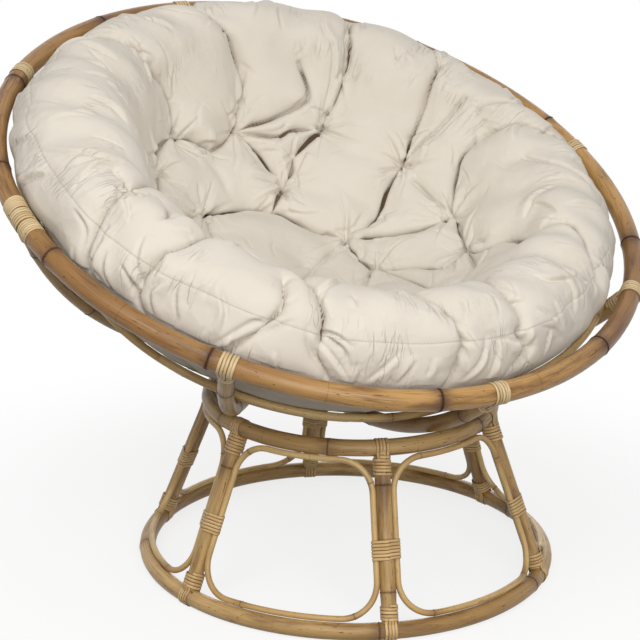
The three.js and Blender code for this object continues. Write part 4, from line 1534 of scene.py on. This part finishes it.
def creaseLines(flat):
    # The narrow line at a crease's bottom, cut in and painted dark as shade, deeper and shallower along it, and
    # the lip folded over it.
    lines = np.zeros(len(flat))
    lips = np.zeros(len(flat))
    for number, (path, depth, width) in enumerate(creasePaths):
        signed, share, total = nearPath(flat, path)
        across = signed - cushion["lineWander"] * np.sin(share * total * 95 + number)
        ends = clipped(share * total, 0, 0.012) * clipped((1 - share) * total, 0, 0.02)
        rise = 0.75 + 0.25 * np.sin(share * total * 38 + 1.7 * number)
        lines = np.maximum(lines, depth * bump(across, cushion["lineWidth"]) * rise * (0.35 + 0.65 * ends))
        beside = across * (1 if number % 2 else -1) - cushion["lipPlace"]
        lips = np.maximum(lips, depth * ends * (1.7 - rise) * bump(beside, cushion["lipWidth"]))
    # A dot at each tuft, cut in and painted dark as shade.
    for place in tuftPlaces:
        dot = bump(np.linalg.norm(flat - place, axis=1), cushion["tuftDot"])
        lines = np.maximum(lines, cushion["tuftDotDepth"] * dot)
    return lines, lips


def seamReachAt(azimuth):
    wander = sum(far * np.sin(azimuth * turns + shift) for far, turns, shift in cushion["seamWander"])
    return math.radians(cushion["seamReach"]) * chart + wander


def seamLines(flat):
    # The seam round the edge, and the short seams between its panels, each a shallow groove that is also painted
    # dark as shade.
    reach = np.linalg.norm(flat, axis=1)
    azimuth = np.arctan2(flat[:, 0], flat[:, 1])
    past = reach - seamReachAt(azimuth)
    panel = math.tau / cushion["seamPanels"]
    beside = (azimuth / panel - np.round(azimuth / panel)) * panel * reach
    panels = bump(beside, cushion["panelSeamWidth"]) * clipped(past, 0, 0.004) * 0.8
    return np.maximum(bump(past, cushion["seamWidth"]), panels)


# Stitches along the edge seam: short bits of thread, a little proud of the seam's groove.
stitch = dict(step=0.0052, radius=0.00042, length=4.2, proud=0.0003, ahead=0.001)


def makeStitches(places):
    azimuths = np.arange(places.shape[1]) * math.tau / places.shape[1]
    topRings, rollRings, underRings = cushion["rings"]
    turns = (seamReachAt(azimuths) - edgePolar * chart) / (roll * math.pi)
    rows = cushion["finer"] * (topRings + rollRings * turns)
    lower = np.floor(rows).astype(int)
    share = (rows - lower)[:, None]
    columns = np.arange(len(azimuths))
    line = places[lower, columns] * (1 - share) + places[lower + 1, columns] * share
    line = line + gridNormals(places)[lower, columns] * stitch["proud"]
    closed = np.concatenate([line, line[:1]])
    spans = np.linalg.norm(np.diff(closed, axis=0), axis=1)
    lengths = np.concatenate([[0.0], np.cumsum(spans)])
    count = int(lengths[-1] / stitch["step"])
    stops = (np.arange(count) + 0.5) * lengths[-1] / count
    spots, ahead = (np.stack([np.interp(stops + shift, lengths, closed[:, axis]) for axis in range(3)], 1)
                    for shift in (0.0, stitch["ahead"]))
    ways = (ahead - spots) / np.linalg.norm(ahead - spots, axis=1)[:, None]
    mesh = headsMesh(zip(spots, ways), {"Radius": stitch["radius"], "Flatness": stitch["length"], "Sides": 6,
                                        "Material": thread})
    addPiece("seamStitches", mesh, "cushion", "cotton")


def makeCushion():
    coarse, flats, belows, fade, hold = formGrid(1)
    finer = cushion["finer"]
    places, flats, fineBelows, upper, fineHold = formGrid(finer)
    moved = inflate(coarse, belows, hold)
    places = places + finerAlong(finerAlong(moved, finer, 0, False), finer, 1, True)
    shape = flats.shape[:2]
    flat = flats.reshape(-1, 2)
    lines, lips, seams, heights = (
        values.reshape(shape) * upper for values in (*creaseLines(flat), seamLines(flat), foldHeights(flat)))
    heights = heights + cushion["lipHeight"] * lips - cushion["lineDepth"] * lines - cushion["seamDepth"] * seams
    places = places + gridNormals(places) * heights[:, :, None]
    reach = np.linalg.norm(flats, axis=2)
    offsets = flat - np.array(tuftPlaces)[:, None]
    distances = np.linalg.norm(offsets, axis=2)
    nearest = distances.argmin(0), np.arange(len(flat))
    toTuft = distances[nearest].reshape(shape)
    way = offsets[nearest].reshape(flats.shape) / np.maximum(toTuft, 1e-6)[:, :, None]
    mesh = closedMesh("tuftedCushion", places)
    for name, values, kind in (
        # The first two carry where painted shade darkens the cloth: the crease lines with their tuft dots, and
        # the seams.
        ("creaseShadeLine", lines, "FLOAT"),
        ("seamShadeLine", seams, "FLOAT"),
        ("tuftShare", (1 - clipped(toTuft, 0.035, 0.085)) * clipped(toTuft, 0, 0.01), "FLOAT"),
        ("rollShare", clipped(reach, 0.36, 0.46), "FLOAT"),
        ("acrossRoll", np.dstack([flats / np.maximum(reach, 1e-6)[:, :, None], reach]), "FLOAT_VECTOR"),
        ("fromTuft", np.dstack([way, toTuft]), "FLOAT_VECTOR"),
    ):
        mark(mesh, name, perPoint(values), kind)
    mesh.polygons.foreach_set("use_smooth", [True] * len(mesh.polygons))
    mesh.materials.append(creamCotton)
    addPiece("tuftedCushion", mesh, "cushion", "cotton", "cushion")
    makeStitches(places)


makeCushion()
print("cushion made")


# Studio: a pale floor that goes to plain white away from the chair, soft light from the upper left, the camera.
studio = dict(
    floorHalf=14.0,
    shadowReach=0.5,
    whiteReach=1.1,
    floorColour=paint(246, 246, 245),
    floorGlow=0.78,          # share of plain white in what the camera sees of the floor by the chair
    floorBounce=paint(104, 102, 98),
    worldLight=0.52,
    aim=0.45,
)
# Each lamp's azimuth, height, distance, size and power.
lamps = dict(
    keyLight=(-58, 2.9, 2.3, 1.6, 35),
    fillLight=(-20, 1.6, 3.0, 1.8, 50),
    backLight=(140, 1.0, 3.0, 2.0, 22),
)


def whiteToLens(graph):
    # 1 for rays that show the background: from the camera, from gloss and through glass.
    rays = graph.add("ShaderNodeLightPath").socket.node
    seen, glossy, through = (Wire(graph, rays.outputs[name])
                             for name in ("Is Camera Ray", "Is Glossy Ray", "Is Transmission Ray"))
    return seen.larger(glossy).larger(through)


def makeStudio():
    half = studio["floorHalf"]
    mesh = bpy.data.meshes.new("floor")
    corners = [(-half, -half, 0), (half, -half, 0), (half, half, 0), (-half, half, 0)]
    mesh.from_pydata(corners, [], [(0, 1, 2, 3)])
    linked("floor", mesh)
    material, graph = newMaterial("paleFloor")
    x, y, z = graph.split(graph.place())
    away = (x * x + y * y).maths("SQRT").ramp(studio["shadowReach"], studio["whiteReach"])
    lit = graph.add("ShaderNodeBsdfDiffuse", None, {"Color": studio["floorColour"]})
    dull = graph.add("ShaderNodeBsdfDiffuse", None, {"Color": studio["floorBounce"]})
    white = graph.add("ShaderNodeEmission", None, {"Color": (1, 1, 1, 1), "Strength": 1.0})
    glow = studio["floorGlow"] + away * (1 - studio["floorGlow"])
    shown = graph.add("ShaderNodeMixShader", None, {0: glow, 1: lit, 2: white})
    mixed = graph.add("ShaderNodeMixShader", None, {0: whiteToLens(graph), 1: dull, 2: shown})
    graph.add("ShaderNodeOutputMaterial", None, {"Surface": mixed})
    mesh.materials.append(material)

    world = bpy.data.worlds.new("studioWorld")
    world.use_nodes = True
    world.node_tree.nodes.clear()
    graph = Graph(world.node_tree)
    strength = studio["worldLight"] + whiteToLens(graph) * (1 - studio["worldLight"])
    back = graph.add("ShaderNodeBackground", None, {"Color": (1, 1, 1, 1), "Strength": strength})
    graph.add("ShaderNodeOutputWorld", None, {"Surface": back})
    bpy.context.scene.world = world

    for name, (azimuth, height, distance, size, power) in lamps.items():
        data = bpy.data.lights.new(name, "AREA")
        data.size = size
        data.energy = power
        lamp = linked(name, data)
        lamp.location = outward(math.radians(azimuth)) * distance + up * height
        lamp.rotation_euler = (up * studio["aim"] - lamp.location).to_track_quat("-Z", "Y").to_euler()
    bpy.context.scene.view_settings.view_transform = "Standard"


# The camera stands where the photograph was taken from.
lens = dict(
    azimuth=math.radians(-33.8),
    distance=3.150,
    height=1.415,
    pitch=0.305,
    roll=0.030,
    focal=112.365,
    sensor=36,
    shift=(-0.0513, -0.0084),
)


def makeCamera():
    data = bpy.data.cameras.new("camera")
    data.lens = lens["focal"]
    data.sensor_width = lens["sensor"]
    data.shift_x, data.shift_y = lens["shift"]
    away = outward(lens["azimuth"])
    forward = -away * math.cos(lens["pitch"]) - up * math.sin(lens["pitch"])
    upright = -away * math.sin(lens["pitch"]) + up * math.cos(lens["pitch"])
    right = along(lens["azimuth"])
    rolledRight = right * math.cos(lens["roll"]) + upright * math.sin(lens["roll"])
    rolledUp = upright * math.cos(lens["roll"]) - right * math.sin(lens["roll"])
    camera = linked("camera", data)
    placed = Matrix((rolledRight, rolledUp, -forward)).transposed().to_4x4()
    placed.translation = away * lens["distance"] + up * lens["height"]
    camera.matrix_world = placed
    bpy.context.scene.camera = camera


makeStudio()
makeCamera()
print("studio and camera made")
